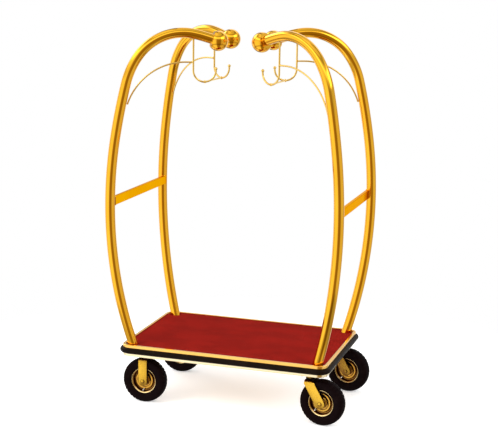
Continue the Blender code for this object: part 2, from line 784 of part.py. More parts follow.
def rim_mesh():
    """A pressed rim: hub, dished disc, bead flange and bead seat."""
    half_profile = [
        (HUB_BORE_RADIUS, HUB_HALF_LENGTH),
        (HUB_RADIUS, HUB_HALF_LENGTH),
        (HUB_RADIUS + EDGE_BREAK, DISC_HALF),
        (DISC_RADIUS, DISC_HALF),
        (WELL_RADIUS, WELL_HALF),
        (FLANGE_RADIUS, FLANGE_HALF),
        (FLANGE_RADIUS, FLANGE_HALF - FLANGE_THICKNESS),
        (BEAD_SEAT_RADIUS, WELL_HALF - FLANGE_THICKNESS),
    ]
    return turned_about_y(both_sides(half_profile), RIM_SEGMENTS, loop=True)


def tyre_mesh():
    """A fat hollow tyre, open towards the rim, with a flat facet on the floor."""
    tread_radius = WHEEL_RADIUS / math.cos(math.pi / TYRE_SEGMENTS)
    lip_radius = FLANGE_RADIUS + BEAD_CLEARANCE
    bore_radius = BEAD_SEAT_RADIUS + BEAD_CLEARANCE
    half_profile = [
        (tread_radius, TREAD_HALF),
        (SHOULDER_RADIUS, SHOULDER_HALF),
        (SIDEWALL_RADIUS, TYRE_HALF_WIDTH),
        (LOWER_WALL_RADIUS, LOWER_WALL_HALF),
        (lip_radius, FLANGE_HALF + EDGE_BREAK),
        (lip_radius, BEAD_HALF + BEAD_STEP),
        (bore_radius, BEAD_HALF),
        (bore_radius, BEAD_OPENING_HALF),
        (CAVITY_RADIUS, CAVITY_HALF),
    ]
    phase = math.pi / TYRE_SEGMENTS
    return turned_about_y(both_sides(half_profile), TYRE_SEGMENTS, loop=True, phase=phase)


def bearing_mesh():
    half_profile = [
        (BEARING_BORE_RADIUS, BEARING_HALF_LENGTH),
        (BEARING_RADIUS, BEARING_HALF_LENGTH),
    ]
    return turned_about_y(both_sides(half_profile), BEARING_SIDES, loop=True)


def valve_mesh():
    """A valve stem that points out of the rim's dish, along -Y."""
    profile = [
        (VALVE_RADIUS, VALVE_START),
        (VALVE_RADIUS, VALVE_END - VALVE_TAPER),
        (VALVE_RADIUS * VALVE_TIP_SHARE, VALVE_END),
    ]
    return turned_about_y(profile, ROD_SIDES)


def add_wheel(corner_name, parent, trail):
    """Rim, tyre, bearing and valve on one spin axis, along the parent's Y."""
    hub = add_guide("wheel_axis_" + corner_name, (trail, 0, WHEEL_RADIUS), parent=parent)
    add_piece("rim_" + corner_name, rim_mesh(), GOLD, hub)
    add_piece("tyre_" + corner_name, tyre_mesh(), RUBBER, hub)
    add_piece("hub_bearing_" + corner_name, bearing_mesh(), STEEL, hub)
    angle = math.radians(VALVE_ANGLE_DEG[corner_name])
    offset = Vector((math.cos(angle), 0, math.sin(angle))) * VALVE_OFFSET
    add_piece("valve_" + corner_name, valve_mesh(), STEEL, hub, Matrix.Translation(offset))


def build():
    clear_scene()
    add_deck()
    add_uprights()
    add_hooks()
    add_push_bars()
    for end, sign_y in (("front", -1), ("rear", 1)):
        add_rigid_caster(end, sign_y)
        add_swivel_caster(end, sign_y)


build()
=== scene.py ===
"""Looks for a hotel luggage cart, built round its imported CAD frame.

Metres, +Z up. The origin is on the floor under the middle of the deck,
+X points to the end with the swivel wheels and -Y to the front side.
"""
import json
import math
from collections import namedtuple

import bmesh
import bpy
from mathutils import Matrix, Vector, noise


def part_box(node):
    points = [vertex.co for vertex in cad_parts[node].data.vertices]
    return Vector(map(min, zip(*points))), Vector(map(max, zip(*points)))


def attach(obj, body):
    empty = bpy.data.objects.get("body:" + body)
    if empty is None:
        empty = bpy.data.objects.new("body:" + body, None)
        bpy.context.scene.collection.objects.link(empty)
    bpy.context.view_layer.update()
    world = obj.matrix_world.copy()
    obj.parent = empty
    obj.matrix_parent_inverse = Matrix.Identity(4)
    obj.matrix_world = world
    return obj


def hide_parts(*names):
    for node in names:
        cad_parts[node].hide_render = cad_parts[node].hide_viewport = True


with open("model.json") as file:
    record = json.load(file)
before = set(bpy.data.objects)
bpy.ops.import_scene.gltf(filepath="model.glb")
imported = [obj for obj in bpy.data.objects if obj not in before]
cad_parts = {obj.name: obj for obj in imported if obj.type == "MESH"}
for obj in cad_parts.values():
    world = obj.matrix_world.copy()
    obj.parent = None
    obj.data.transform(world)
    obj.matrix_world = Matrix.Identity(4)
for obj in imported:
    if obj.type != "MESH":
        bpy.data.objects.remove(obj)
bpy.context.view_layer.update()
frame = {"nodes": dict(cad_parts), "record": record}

# Camera
CAMERA_PLACE = (1.8461, -5.7187, 2.1123)
CAMERA_AZIMUTH_DEG = 17.6387
CAMERA_ELEVATION_DEG = 11.3381
CAMERA_ROLL_DEG = 0.8658
CAMERA_LENS_MM = 90.90
CAMERA_SENSOR_MM = 36.0

# Uprights: foot, plane, lean and bends as (radius, degrees)
UPRIGHT_X = 0.4629
UPRIGHT_Y = 0.2854
UPRIGHT_PLANE_DEG = 28.4
UPRIGHT_LEAN_DEG = 17.5
UPRIGHT_BENDS = ((2.172, 26.3), (2.90, 5.25), (0.371, 22.65), (0.2544, 64.7), (0.56, 5.4))
UPRIGHT_START_STRAIGHT = 0.023
UPRIGHT_END_STRAIGHT = 0.035
UPRIGHT_START_Z = 0.2958
TUBE_RADIUS = 0.0238
TUBE_WALL = 0.0015
TUBE_SIDES = 56
BEND_STEP_DEG = 1.6
GENTLE_BEND_STEP_DEG = 0.8
GENTLE_BEND_RADIUS = 1.0
BALL_RADIUS = 0.0476
BALL_CENTRE_PAST_TUBE = 0.0334
BALL_STEPS = 40
BALL_SIDES = 72
NECK_HEIGHT = 0.0034
NECK_PROUD = 0.0008
SHANK_RADIUS = 0.0205
SHANK_LENGTH = 0.025

# Coat hooks, braces and links
HOOK_S = -0.287
HOOK_TOP = 1.7662
HOOK_BEND_Z = 1.622
HOOK_BEND_RADIUS = 0.054
HOOK_ROD_RADIUS = 0.0045
HOOK_TIP_RADIUS = 0.0075
HOOK_BEND_STEPS = 36
HOOK_TIP_TURNS_DEG = range(34, 180, 12)
BRACE_Z = 1.661
BRACE_BEND_START_S = -0.250
BRACE_BEND_RADIUS = 0.288
BRACE_BEND_DEG = 71.8
BRACE_ROD_RADIUS = 0.0040
BRACE_STEP_DEG = 2.2
ROD_SIDES = 20
WELD_FLARE = 0.0035
WELD_SHARES = (1.0, 0.45, 0.12)
ROD_SHARP_DEG = 60

# Push bars
PUSH_BAR_CORNER = 0.0035
PUSH_BAR_WALL = 0.0018
BEAD_SPACING = 0.0015
WELD_RADIUS = 0.0020
WELD_RIPPLE = 0.12
WELD_RIPPLE_STEP = 1.9

# Deck
DECK_CORNER_RADIUS = 0.045
CORNER_STEPS = 14
LIP_DEPTH = 0.010
WEB_THICKNESS = 0.003
UPPER_LIP = 0.015
LOWER_LIP = 0.0135
LEDGE_WIDTH = 0.019
LEDGE_THICKNESS = 0.003
BUMPER_PROUD = 0.014
CARPET_CELL = 0.0040
CARPET_EDGE_DROP = 0.0018
SLOT_CLEARANCE = 0.0006
SLOT_PULL = 1.6
TUFTS = (310, 0.0005)
PILE_WAVES = (22, 0.0003)
PILE_DEPTH = 0.0007
BUMPER_STEPS = 20
BUMPER_ROUNDNESS = 0.8

# Casters
FORK_THICKNESS = 0.0045
FORK_INNER_HALF = 0.033
FORK_BEND_RADIUS = 0.016
RIGID_LEG_HALF_WIDTH = 0.022
SWIVEL_LEG_HALF_WIDTH = 0.024
FORK_EDGE = 0.0011
SWIVEL_LEG_OFFSET = 0.007
SWIVEL_CROWN_BACK = 0.020
SWIVEL_CROWN_FRONT = 0.016
PLATE_HALF_X = 0.042
PLATE_HALF_Y = 0.052
PLATE_CORNER = 0.008
PLATE_BOLT_X = 0.033
PLATE_BOLT_Y = 0.043
BOSS_RADIUS = 0.0235
AXLE_RADIUS = 0.005
AXLE_HEAD = (0.0088, 0.0040)
PLATE_BOLT_HEAD = (0.0058, 0.0042)
PLATE_EDGE = 0.0006
KINGPIN_RADIUS = 0.006
RACEWAY_BORE = 0.0066
SEAL_BORE = 0.0141
FORK_BEND_STEPS = 14

# Studio: bands as (lowest rise, highest rise, change), windows and dark posts by
# their azimuth off the camera's
FLOOR_RADIUS = 1.9
FLOOR_SOLID = 1.0
FLOOR_GLOW = 0.40
WHITE = (1.0, 1.0, 1.0)
DARK_WALL = (0.37, 0.25, 0.08)
CEILING_BANDS = (
    (0.46, 0.62, 0.75), (0.72, 0.84, -0.45), (-0.70, -0.50, -0.45), (0.20, 0.32, -0.22),
)
BAND_EDGE = 0.06
WINDOWS = (-125, 62)
WINDOW_GLOW = 2.0
WINDOW_RISE = (0.34, 0.62)
WINDOW_EDGE = 0.08
POSTS = ((118, 0.55), (-104, 0.45), (196, 0.6))

# Wheels
HUB_BORE_RADIUS = 0.0096
HUB_HALF_LENGTH = 0.0290
# Painted rings on each rim by distance from the axle: painted shade in the well and a painted highlight on
# the flange.
WELL_SHADE_RING = (0.0490, 0.0530)
FLANGE_HIGHLIGHT_RING = (0.0572, 0.0596)
TYRE_RADIUS = 0.1100
SHOULDER_DROP = 0.0035
SHOULDER_HALF = 0.0225
CROWN_POWER = 2.6
BEAD_RADIUS = 0.0575
BEAD_HALF = 0.0172
TREAD_PITCHES = 34
TREAD_DEPTH = 0.0024
RIB_HALF_WIDTH = 0.0062
GROOVE_WIDTH = 0.0026
GROOVE_WALL = 0.0004
SHOULDER_OFFSETS = (0.0125, 0.0165, 0.0200, SHOULDER_HALF)
HALF_PITCH_SHARES = (0.0, 0.02, 0.24, 0.26, 0.38)
CROSS_GROOVE = (0.015, 0.245)
GROOVE_RUNOUT_RADIUS = 0.0985
GROOVE_RUNOUT = 0.0075
WALL_RINGS = ((0.0760, 0.0016), (0.0905, 0.0012))
WALL_RING_HEIGHT = 0.0006
TYRE_SHARP_DEG = 38
VALVE_RADIUS = 0.003

GAP = 0.0003
SHARP_DEG = 32
ALMOST_ZERO = 0.0001
UP = Vector((0, 0, 1))
REACH_LIMIT = 0.49
CORNERS = {
    "front_left": (-1, -1),
    "rear_left": (-1, 1),
    "front_right": (1, -1),
    "rear_right": (1, 1),
}
SIDES = ("left", "right")
ENDS = ("front", "rear")
JOINTS = {joint["name"]: joint for joint in frame["record"]["behaviour"]["joints"]}
FRAME_BODY = "cart_frame"
FLIPPED = Matrix.Rotation(math.pi, 4, "X")


# ---------------------------------------------------------------- mesh tools

def skin(rings, loop=False):
    """Join equal rings of points into one closed mesh, capped unless looped."""
    mesh = bmesh.new()
    vert_rings = [[mesh.verts.new(point) for point in ring] for ring in rings]
    pairs = list(zip(vert_rings, vert_rings[1:]))
    if loop:
        pairs.append((vert_rings[-1], vert_rings[0]))
    for low, high in pairs:
        for i in range(len(low)):
            j = (i + 1) % len(low)
            mesh.faces.new((low[i], low[j], high[j], high[i]))
    if not loop:
        mesh.faces.new(reversed(vert_rings[0]))
        mesh.faces.new(vert_rings[-1])
    bmesh.ops.recalc_face_normals(mesh, faces=mesh.faces)
    return mesh


def circle(radius, sides):
    step = 2 * math.pi / sides
    return [(radius * math.cos(i * step), radius * math.sin(i * step)) for i in range(sides)]


def lathe(profile, sides, loop=False):
    """Turn (radius, height) points about Z; a point on the axis becomes a pole."""
    mesh = bmesh.new()
    rings = []
    for radius, height in profile:
        if radius == 0.0:
            rings.append([mesh.verts.new((0, 0, height))])
        else:
            rings.append([mesh.verts.new((x, y, height)) for x, y in circle(radius, sides)])
    pairs = list(zip(rings, rings[1:]))
    if loop:
        pairs.append((rings[-1], rings[0]))
    for low, high in pairs:
        for i in range(sides):
            j = (i + 1) % sides
            corners = (
                low[i % len(low)], low[j % len(low)], high[j % len(high)], high[i % len(high)]
            )
            mesh.faces.new(list(dict.fromkeys(corners)))
    bmesh.ops.recalc_face_normals(mesh, faces=mesh.faces)
    return mesh


def rounded_profile(corners, steps=4, closed=True):
    """Round the (a, b, radius) corners of a polygon with arcs."""
    points = []
    count = len(corners)
    for i, (a, b, radius) in enumerate(corners):
        corner = Vector((a, b))
        is_end = not closed and i in (0, count - 1)
        if radius == 0 or is_end:
            points.append(corner)
            continue
        before = Vector(corners[i - 1][:2]) - corner
        after = Vector(corners[(i + 1) % count][:2]) - corner
        half = before.angle(after) / 2
        reach = min(radius / math.tan(half), REACH_LIMIT * before.length, REACH_LIMIT * after.length)
        before.normalize()
        after.normalize()
        centre = corner + (before + after).normalized() * (reach / math.cos(half))
        start = before * reach + corner - centre
        end = after * reach + corner - centre
        first = math.atan2(start.y, start.x)
        turn = (math.atan2(end.y, end.x) - first + math.pi) % (2 * math.pi) - math.pi
        for k in range(steps + 1):
            angle = first + turn * k / steps
            points.append(centre + start.length * Vector((math.cos(angle), math.sin(angle))))
    return [tuple(point) for point in points]


def about_y(mesh):
    """Turn a mesh made about Z so that it is about Y, with its top towards -Y."""
    bmesh.ops.rotate(
        mesh, verts=mesh.verts, cent=(0, 0, 0), matrix=Matrix.Rotation(math.pi / 2, 3, "X")
    )
    return mesh


def moved(mesh, matrix):
    mesh.transform(matrix)
    return mesh


def combined(parts):
    """One mesh from several."""
    whole = bmesh.new()
    for part in parts:
        data = bpy.data.meshes.new("part")
        part.to_mesh(data)
        part.free()
        whole.from_mesh(data)
        bpy.data.meshes.remove(data)
    return whole


def turned(corners, sides):
    """A solid of revolution from an outline of (radius, height, rounding) corners."""
    return lathe(rounded_profile(corners, closed=False), sides)


def rounded_outline(half_x, half_y, radius, steps):
    """Points of a rounded rectangle, each with its outward normal."""
    outline = []
    for quarter in range(4):
        sign_x = (1, -1, -1, 1)[quarter]
        sign_y = (1, 1, -1, -1)[quarter]
        centre = Vector((sign_x * (half_x - radius), sign_y * (half_y - radius), 0))
        for i in range(steps + 1):
            angle = math.pi / 2 * (quarter + i / steps)
            normal = Vector((math.cos(angle), math.sin(angle), 0))
            outline.append((centre + radius * normal, normal))
    return outline


def place(x, y, z=0.0, heading=0.0):
    return Matrix.Translation((x, y, z)) @ Matrix.Rotation(heading, 4, "Z")


def add_object(name, data):
    made = bpy.data.objects.new(name, data)
    bpy.context.collection.objects.link(made)
    return made


def mesh_object(name, mesh, material):
    """Put a built mesh in the scene with one material."""
    data = bpy.data.meshes.new(name)
    mesh.to_mesh(data)
    mesh.free()
    data.materials.append(material)
    return add_object(name, data)


def add_piece(
    name, mesh, material, replaces=(), matrix=None, body=FRAME_BODY, sharp_deg=SHARP_DEG,
):
    """Add a mesh as a piece that rides on a CAD body, smooth but for its sharp edges."""
    if matrix is not None:
        mesh.transform(matrix)
    piece = mesh_object(name, mesh, material)
    piece.data.shade_smooth()
    piece.data.set_sharp_from_angle(angle=math.radians(sharp_deg))
    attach(piece, body)
    if replaces:
        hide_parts(*replaces)
    return piece


def paint(node, material):
    """Give a CAD node that stays in the picture its material."""
    materials = frame["nodes"][node].data.materials
    materials.clear()
    materials.append(material)


# ----------------------------------------------------------------- materials

class Graph:
    """Short calls that add nodes to one shader tree."""

    def __init__(self, tree):
        self.tree = tree

    def feed(self, socket, source):
        """Give an input another node's output, a number, a vector or a colour."""
        if isinstance(source, bpy.types.NodeSocket):
            self.tree.links.new(source, socket)
        elif socket.type == "RGBA":
            socket.default_value = (*source, 1.0)
        else:
            socket.default_value = source

    def node(self, kind, inputs, **settings):
        made = self.tree.nodes.new("ShaderNode" + kind)
        for key, value in settings.items():
            setattr(made, key, value)
        for key, source in inputs.items():
            self.feed(made.inputs[key], source)
        return made

    def maths(self, operation, *values):
        return self.node("Math", dict(enumerate(values)), operation=operation).outputs[0]

    def product(self, first, second):
        return self.maths("MULTIPLY", first, second)

    def length(self, vector):
        return self.node("VectorMath", {0: vector}, operation="LENGTH").outputs["Value"]

    def spread(self, value, low, high, start=0.0, end=1.0, **settings):
        """Map low..high to start..end, clamped."""
        ranges = {"Value": value, "From Min": low, "From Max": high, "To Min": start, "To Max": end}
        return self.node("MapRange", ranges, **settings).outputs["Result"]

    def blend(self, factor, first, second, **settings):
        """Mix two colours."""
        inputs = {0: factor, 6: first, 7: second}
        return self.node("Mix", inputs, data_type="RGBA", **settings).outputs[2]


class Recipe(Graph):
    """A procedural material round one Principled shader."""

    def __init__(self, name, **values):
        self.material = bpy.data.materials.new(name)
        self.material.use_nodes = True
        super().__init__(self.material.node_tree)
        self.shader = self.tree.nodes["Principled BSDF"]
        self.normal = None
        self.shade(**values)
        self.place = self.node("TexCoord", {}).outputs["Object"]

    def shade(self, **values):
        """Feed the shader's inputs, each named in lower case."""
        for key, value in values.items():
            socket = key.replace("_", " ").title().replace("Ior", "IOR")
            self.feed(self.shader.inputs[socket], value)

    def stretched(self, scale):
        """Object coordinates stretched by a scale along each axis."""
        return self.node("Mapping", {"Vector": self.place, "Scale": scale}).outputs["Vector"]

    def distance_from_axle(self, centre, heading):
        """How far a point is from a wheel's axle line."""
        turned = {"Vector": self.place, "Location": centre, "Rotation": (0.0, 0.0, heading)}
        local = self.node("Mapping", turned, vector_type="TEXTURE").outputs["Vector"]
        flat = self.node("Mapping", {"Vector": local, "Scale": (1.0, 0.0, 1.0)})
        return self.length(flat.outputs["Vector"])

    def noise(self, scale, detail=3.0, roughness=0.5, vector=None):
        inputs = {
            "Vector": vector or self.place, "Scale": scale, "Detail": detail, "Roughness": roughness,
        }
        return self.node("TexNoise", inputs).outputs["Fac"]

    def cells(self, scale, output="Distance"):
        return self.node("TexVoronoi", {"Vector": self.place, "Scale": scale}).outputs[output]

    def bump(self, height, distance, strength=1.0):
        """Add one layer of bump, in metres."""
        inputs = {"Height": height, "Distance": distance, "Strength": strength}
        if self.normal is not None:
            inputs["Normal"] = self.normal
        self.normal = self.node("Bump", inputs).outputs["Normal"]
        self.shade(normal=self.normal)


def gold(
    name, bright, deep, low_rough, high_rough, coat=0.0, nook_shade=None, highlight_below=None, wheel=None, rake=WHITE,
):
    """Gold plating: slight tone changes, wipe marks and a faint ripple, with painted shade in nooks and
    under nearby parts; where asked, a painted shade ring and a painted highlight ring on a rim, and a
    painted highlight on a low lip.
    """
    recipe = Recipe(name, metallic=1.0, coat_weight=coat, coat_roughness=0.04, specular_tint=rake)
    tone = recipe.spread(recipe.noise(5.0, 4.0, 0.55), 0.35, 0.65)
    plated = recipe.blend(tone, deep, bright)
    far_shade_limits = (0.50, 0.76)
    if wheel:
        # Painted shade: a dark ring in the rim's well, by distance from the axle.
        radius = recipe.distance_from_axle(*wheel)
        well_shaded = recipe.blend(recipe.spread(radius, *WELL_SHADE_RING), plated, PAINTED_WELL_SHADE)
        # Painted highlight: a pale ring on the rim's flange.
        plated = recipe.blend(recipe.spread(radius, *FLANGE_HIGHLIGHT_RING), well_shaded, PAINTED_FLANGE_HIGHLIGHT)
        far_shade_limits = (0.28, 0.56)
    # Painted shade: ambient occlusion darkens the gold where nearby parts such as the deck shelter it (far)
    # and in nooks (near).
    if nook_shade:
        near_shade_limits = (0.10, 0.65)
        for reach, limits, painted_shade in ((0.40, far_shade_limits, PAINTED_SHELTER_SHADE), (0.035, near_shade_limits, nook_shade)):
            shelter = recipe.node("AmbientOcclusion", {"Distance": reach}, samples=8)
            openness = recipe.spread(shelter.outputs["AO"], *limits)
            plated = recipe.blend(openness, painted_shade, plated)
    # Painted highlight: paler gold below a height, on the deck band's lower lip.
    if highlight_below:
        height = recipe.node("SeparateXYZ", {0: recipe.place}).outputs["Z"]
        lower = recipe.spread(height, highlight_below, highlight_below + LIP_HIGHLIGHT_FADE, 1.0, 0.0)
        plated = recipe.blend(lower, plated, PAINTED_LIP_HIGHLIGHT)
    smudges = recipe.noise(38.0, 6.0, 0.62, recipe.stretched((1.0, 1.0, 0.35)))
    recipe.shade(base_color=plated, roughness=recipe.spread(smudges, 0.35, 0.72, low_rough, high_rough))
    recipe.bump(recipe.noise(70.0, 2.0, 0.4), 0.00012, 0.35)
    return recipe.material


def rubber(name, dark, dusty, low_rough, high_rough, level, dust_scale):
    """Black rubber with a fine moulded grain and a little dust."""
    recipe = Recipe(name, specular_ior_level=level)
    dust = recipe.spread(recipe.noise(dust_scale, 6.0, 0.6), 0.48, 0.75)
    wear = recipe.spread(recipe.noise(90.0, 4.0), 0.3, 0.7, low_rough, high_rough)
    recipe.shade(base_color=recipe.blend(dust, dark, dusty), roughness=wear)
    recipe.bump(recipe.noise(1400.0, 2.0), 0.00008, 0.5)
    recipe.bump(recipe.noise(160.0, 3.0), 0.00015, 0.35)
    return recipe.material


def carpet(name):
    """Cut pile: speckled yarn, rows of tufts and soft patches where the pile leans."""
    recipe = Recipe(
        name, roughness=0.95, specular_ior_level=0.03, sheen_weight=0.06, sheen_roughness=0.4,
        sheen_tint=(0.95, 0.12, 0.08),
    )
    yarn = recipe.spread(recipe.noise(1100.0, 3.0, 0.7), 0.34, 0.66)
    pile = recipe.blend(yarn, (0.135, 0.0034, 0.0022), (0.350, 0.0120, 0.0070))
    lean = recipe.spread(recipe.noise(9.0, 4.0, 0.55, recipe.stretched((0.8, 1.3, 1.0))), 0.40, 0.62)
    shade = recipe.blend(lean, (0.88, 0.86, 0.86), (1.06, 1.04, 1.04))
    recipe.shade(base_color=recipe.blend(1.0, pile, shade, blend_type="MULTIPLY"))
    wave = {"Vector": recipe.place, "Scale": 95.0, "Distortion": 2.5, "Detail": 2.0, "Detail Scale": 4.0}
    rows = recipe.node("TexWave", wave, wave_type="BANDS", bands_direction="Y")
    recipe.bump(rows.outputs["Fac"], 0.0006, 0.35)
    recipe.bump(recipe.cells(640.0), 0.0014, 0.8)
    recipe.bump(recipe.noise(1200.0, 3.0, 0.7), 0.0008, 0.6)
    return recipe.material


def plywood(name):
    """Birch veneer with long grain and darker growth lines."""
    recipe = Recipe(name, specular_ior_level=0.3)
    grain = recipe.noise(26.0, 8.0, 0.62, recipe.stretched((0.10, 2.6, 2.6)))
    tone = recipe.spread(grain, 0.34, 0.66)
    veneer = recipe.blend(tone, (0.33, 0.195, 0.085), (0.56, 0.38, 0.20))
    recipe.shade(base_color=veneer, roughness=recipe.spread(grain, 0.3, 0.7, 0.55, 0.8))
    recipe.bump(recipe.noise(90.0, 6.0, 0.6, recipe.stretched((0.12, 3.0, 3.0))), 0.0003, 0.5)
    return recipe.material


def steel(name, dark, light, low_rough, high_rough, across):
    """Zinc-plated or oiled steel with fine rolling lines and a spangle."""
    recipe = Recipe(name, metallic=1.0)
    spangle = recipe.spread(recipe.cells(150.0, "Color"), 0.2, 0.8)
    lines = recipe.noise(60.0, 5.0, 0.6, recipe.stretched(across))
    rough = recipe.spread(lines, 0.3, 0.7, low_rough, high_rough)
    recipe.shade(base_color=recipe.blend(spangle, dark, light), roughness=rough)
    recipe.bump(lines, 0.00006, 0.5)
    return recipe.material


# Painted shade colours: gold darkened in nooks and where nearby parts shelter it.
PAINTED_NOOK_SHADE = (0.10, 0.030, 0.004)
PAINTED_SHELTER_SHADE = (0.12, 0.040, 0.008)
# Painted shade in a rim's well.
PAINTED_WELL_SHADE = (0.42, 0.15, 0.018)
# Painted highlight on a rim's flange.
PAINTED_FLANGE_HIGHLIGHT = (0.97, 0.74, 0.34)
# Painted highlight on the deck band's lower lip, below a height.
PAINTED_LIP_HIGHLIGHT = (0.96, 0.80, 0.50)
LIP_HIGHLIGHT_TOP = 0.2572
LIP_HIGHLIGHT_FADE = 0.0012
tube_gold = gold("polished_gold_tube", (0.92, 0.475, 0.024), (0.87, 0.425, 0.017), 0.05, 0.12, 0.20)
# The deck band carries a painted highlight on its lower lip.
band_gold = gold(
    "polished_gold_band", (0.97, 0.58, 0.145), (0.92, 0.52, 0.115), 0.10, 0.20, 0.10,
    highlight_below=LIP_HIGHLIGHT_TOP,
)
bar_gold = gold(
    "polished_gold_bar", (0.96, 0.50, 0.030), (0.90, 0.44, 0.020), 0.10, 0.18, rake=(0.92, 0.60, 0.25)
)
rod_gold = gold("polished_gold_rod", (0.96, 0.68, 0.20), (0.86, 0.57, 0.13), 0.10, 0.20, 0.1)
# Caster gold carries painted shade in nooks and under the deck.
caster_gold = gold("satin_gold_caster", (0.97, 0.59, 0.060), (0.92, 0.53, 0.042), 0.20, 0.32, 0.1, PAINTED_NOOK_SHADE)
tyre_rubber = rubber(
    "tyre_rubber", (0.0040, 0.0012, 0.0014), (0.0080, 0.0032, 0.0030), 0.50, 0.66, 0.035, 30.0
)
bumper_rubber = rubber(
    "bumper_rubber", (0.0060, 0.0028, 0.0012), (0.0120, 0.0065, 0.0035), 0.36, 0.48, 0.055, 14.0
)
seal_rubber = rubber("seal_rubber", (0.003, 0.0025, 0.002), (0.015, 0.011, 0.008), 0.45, 0.65, 0.15, 60.0)
carpet_pile = carpet("red_carpet")
board_wood = plywood("birch_plywood")
rail_steel = steel("zinc_steel", (0.42, 0.42, 0.41), (0.60, 0.60, 0.58), 0.30, 0.48, (1.0, 0.05, 1.0))
dark_steel = steel("oiled_steel", (0.05, 0.05, 0.05), (0.12, 0.115, 0.11), 0.25, 0.45, (1.0, 1.0, 0.2))
bright_steel = steel("bright_zinc", (0.62, 0.62, 0.60), (0.80, 0.80, 0.77), 0.14, 0.30, (1.0, 1.0, 1.0))
valve_metal = steel("valve_nickel", (0.70, 0.68, 0.62), (0.88, 0.86, 0.80), 0.08, 0.20, (1.0, 1.0, 1.0))


# ------------------------------------------------------------------ the deck

def deck_extrusion(section):
    """Run a closed section of (inward offset, height) points round the deck."""
    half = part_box("deck_frame")[1]
    outline = rounded_outline(half.x, half.y, DECK_CORNER_RADIUS, CORNER_STEPS)
    rings = [
        [point - normal * inward + UP * height for inward, height in section]
        for point, normal in outline
    ]
    return skin(rings, loop=True)


def add_deck():
    low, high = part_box("deck_frame")
    bottom = low.z
    top = high.z
    inner = LIP_DEPTH + WEB_THICKNESS
    ledge_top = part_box("deck_board")[0].z - GAP
    frame_section = rounded_profile([
        (0.0, top, 0.0034),
        (inner, top, 0.0014),
        (inner, ledge_top, 0.0),
        (inner + LEDGE_WIDTH, ledge_top, 0.0006),
        (inner + LEDGE_WIDTH, ledge_top - LEDGE_THICKNESS, 0.0006),
        (inner, ledge_top - LEDGE_THICKNESS, 0.0),
        (inner, bottom + LOWER_LIP - WEB_THICKNESS, 0.0020),
        (WEB_THICKNESS, bottom + LOWER_LIP - WEB_THICKNESS, 0.0010),
        (WEB_THICKNESS, bottom, 0.0010),
        (0.0, bottom, 0.0014),
        (0.0, bottom + LOWER_LIP, 0.0026),
        (LIP_DEPTH, bottom + LOWER_LIP, 0.0),
        (LIP_DEPTH, top - UPPER_LIP, 0.0),
        (0.0, top - UPPER_LIP, 0.0016),
    ], steps=5)
    add_piece("deck_band", deck_extrusion(frame_section), band_gold, ["deck_frame"])

    bumper = bumper_section(bottom + LOWER_LIP + GAP, top - UPPER_LIP - GAP)
    add_piece("bumper_strip", deck_extrusion(bumper), bumper_rubber, ["deck_bumper"])
    paint("deck_board", board_wood)
    for side in SIDES:
        paint("cross_rail_" + side, rail_steel)


def bumper_section(low, high):
    """A D-shaped rubber strip: flat back in the channel, rounded front."""
    middle = (low + high) / 2
    half = (high - low) / 2
    back = LIP_DEPTH - GAP
    section = [(back, low), (back, high)]
    for i in range(BUMPER_STEPS + 1):
        angle = math.pi / 2 - math.pi * i / BUMPER_STEPS
        bulge = abs(math.cos(angle)) ** BUMPER_ROUNDNESS
        section.append((-BUMPER_PROUD * bulge, middle + half * math.sin(angle)))
    return section


def tube_slot(corner_name):
    """Centre, outward direction and half axes of the hole that a leaning tube needs."""
    foot, outward = plane_axes(corner_name)
    lean = math.radians(UPRIGHT_LEAN_DEG)
    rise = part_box("deck_carpet")[1].z - UPRIGHT_START_Z
    centre = foot + outward * rise * math.tan(lean)
    across = TUBE_RADIUS + SLOT_CLEARANCE
    return centre, outward, across / math.cos(lean) + SLOT_CLEARANCE, across


def add_carpet():
    """A fine grid cut to the board's outline and holed for the four tubes."""
    low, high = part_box("deck_carpet")
    corner = DECK_CORNER_RADIUS - LIP_DEPTH - WEB_THICKNESS - GAP
    slots = [tube_slot(name) for name in CORNERS]
    columns = round((high.x - low.x) / CARPET_CELL)
    rows = round((high.y - low.y) / CARPET_CELL)
    mesh = bmesh.new()
    grid = {}
    for i in range(columns + 1):
        for j in range(rows + 1):
            x = low.x + (high.x - low.x) * i / columns
            y = low.y + (high.y - low.y) * j / rows
            if carpet_keeps(x, y, high, corner, slots):
                grid[i, j] = mesh.verts.new((x, y, high.z))
    for i in range(columns):
        for j in range(rows):
            keys = ((i, j), (i + 1, j), (i + 1, j + 1), (i, j + 1))
            if all(key in grid for key in keys):
                mesh.faces.new([grid[key] for key in keys])
    loose = [vert for vert in mesh.verts if not vert.link_faces]
    bmesh.ops.delete(mesh, geom=loose, context="VERTS")
    rim = [vert for vert in mesh.verts if vert.is_boundary]
    for vert in rim:
        vert.co.x, vert.co.y = carpet_rim_point(vert.co.x, vert.co.y, high, corner, slots)
    for vert in mesh.verts:
        vert.co.z -= pile_dip(vert.co)
    for vert in rim:
        vert.co.z = high.z - CARPET_EDGE_DROP
    top_faces = list(mesh.faces)
    base = bmesh.ops.extrude_face_region(mesh, geom=top_faces)
    for item in base["geom"]:
        if isinstance(item, bmesh.types.BMVert):
            item.co.z = low.z
    bmesh.ops.recalc_face_normals(mesh, faces=mesh.faces)
    piece = add_piece("carpet_pile", mesh, carpet_pile, ["deck_carpet"], sharp_deg=80)


def pile_dip(point):
    """How far the pile lies below its top at a point: fine tufts and soft waves."""
    depth = PILE_DEPTH
    for layer, (scale, height) in enumerate((TUFTS, PILE_WAVES)):
        depth += height * noise.noise(Vector((point.x * scale, point.y * scale, 4.0 * layer)))
    return depth


def slot_reach(x, y, slot):
    """Distance from a tube slot's centre, where 1 is its edge."""
    centre, outward, along, across = slot
    offset = Vector((x, y, 0)) - Vector((centre.x, centre.y, 0))
    side = Vector((-outward.y, outward.x, 0))
    return math.hypot(offset.dot(outward) / along, offset.dot(side) / across)


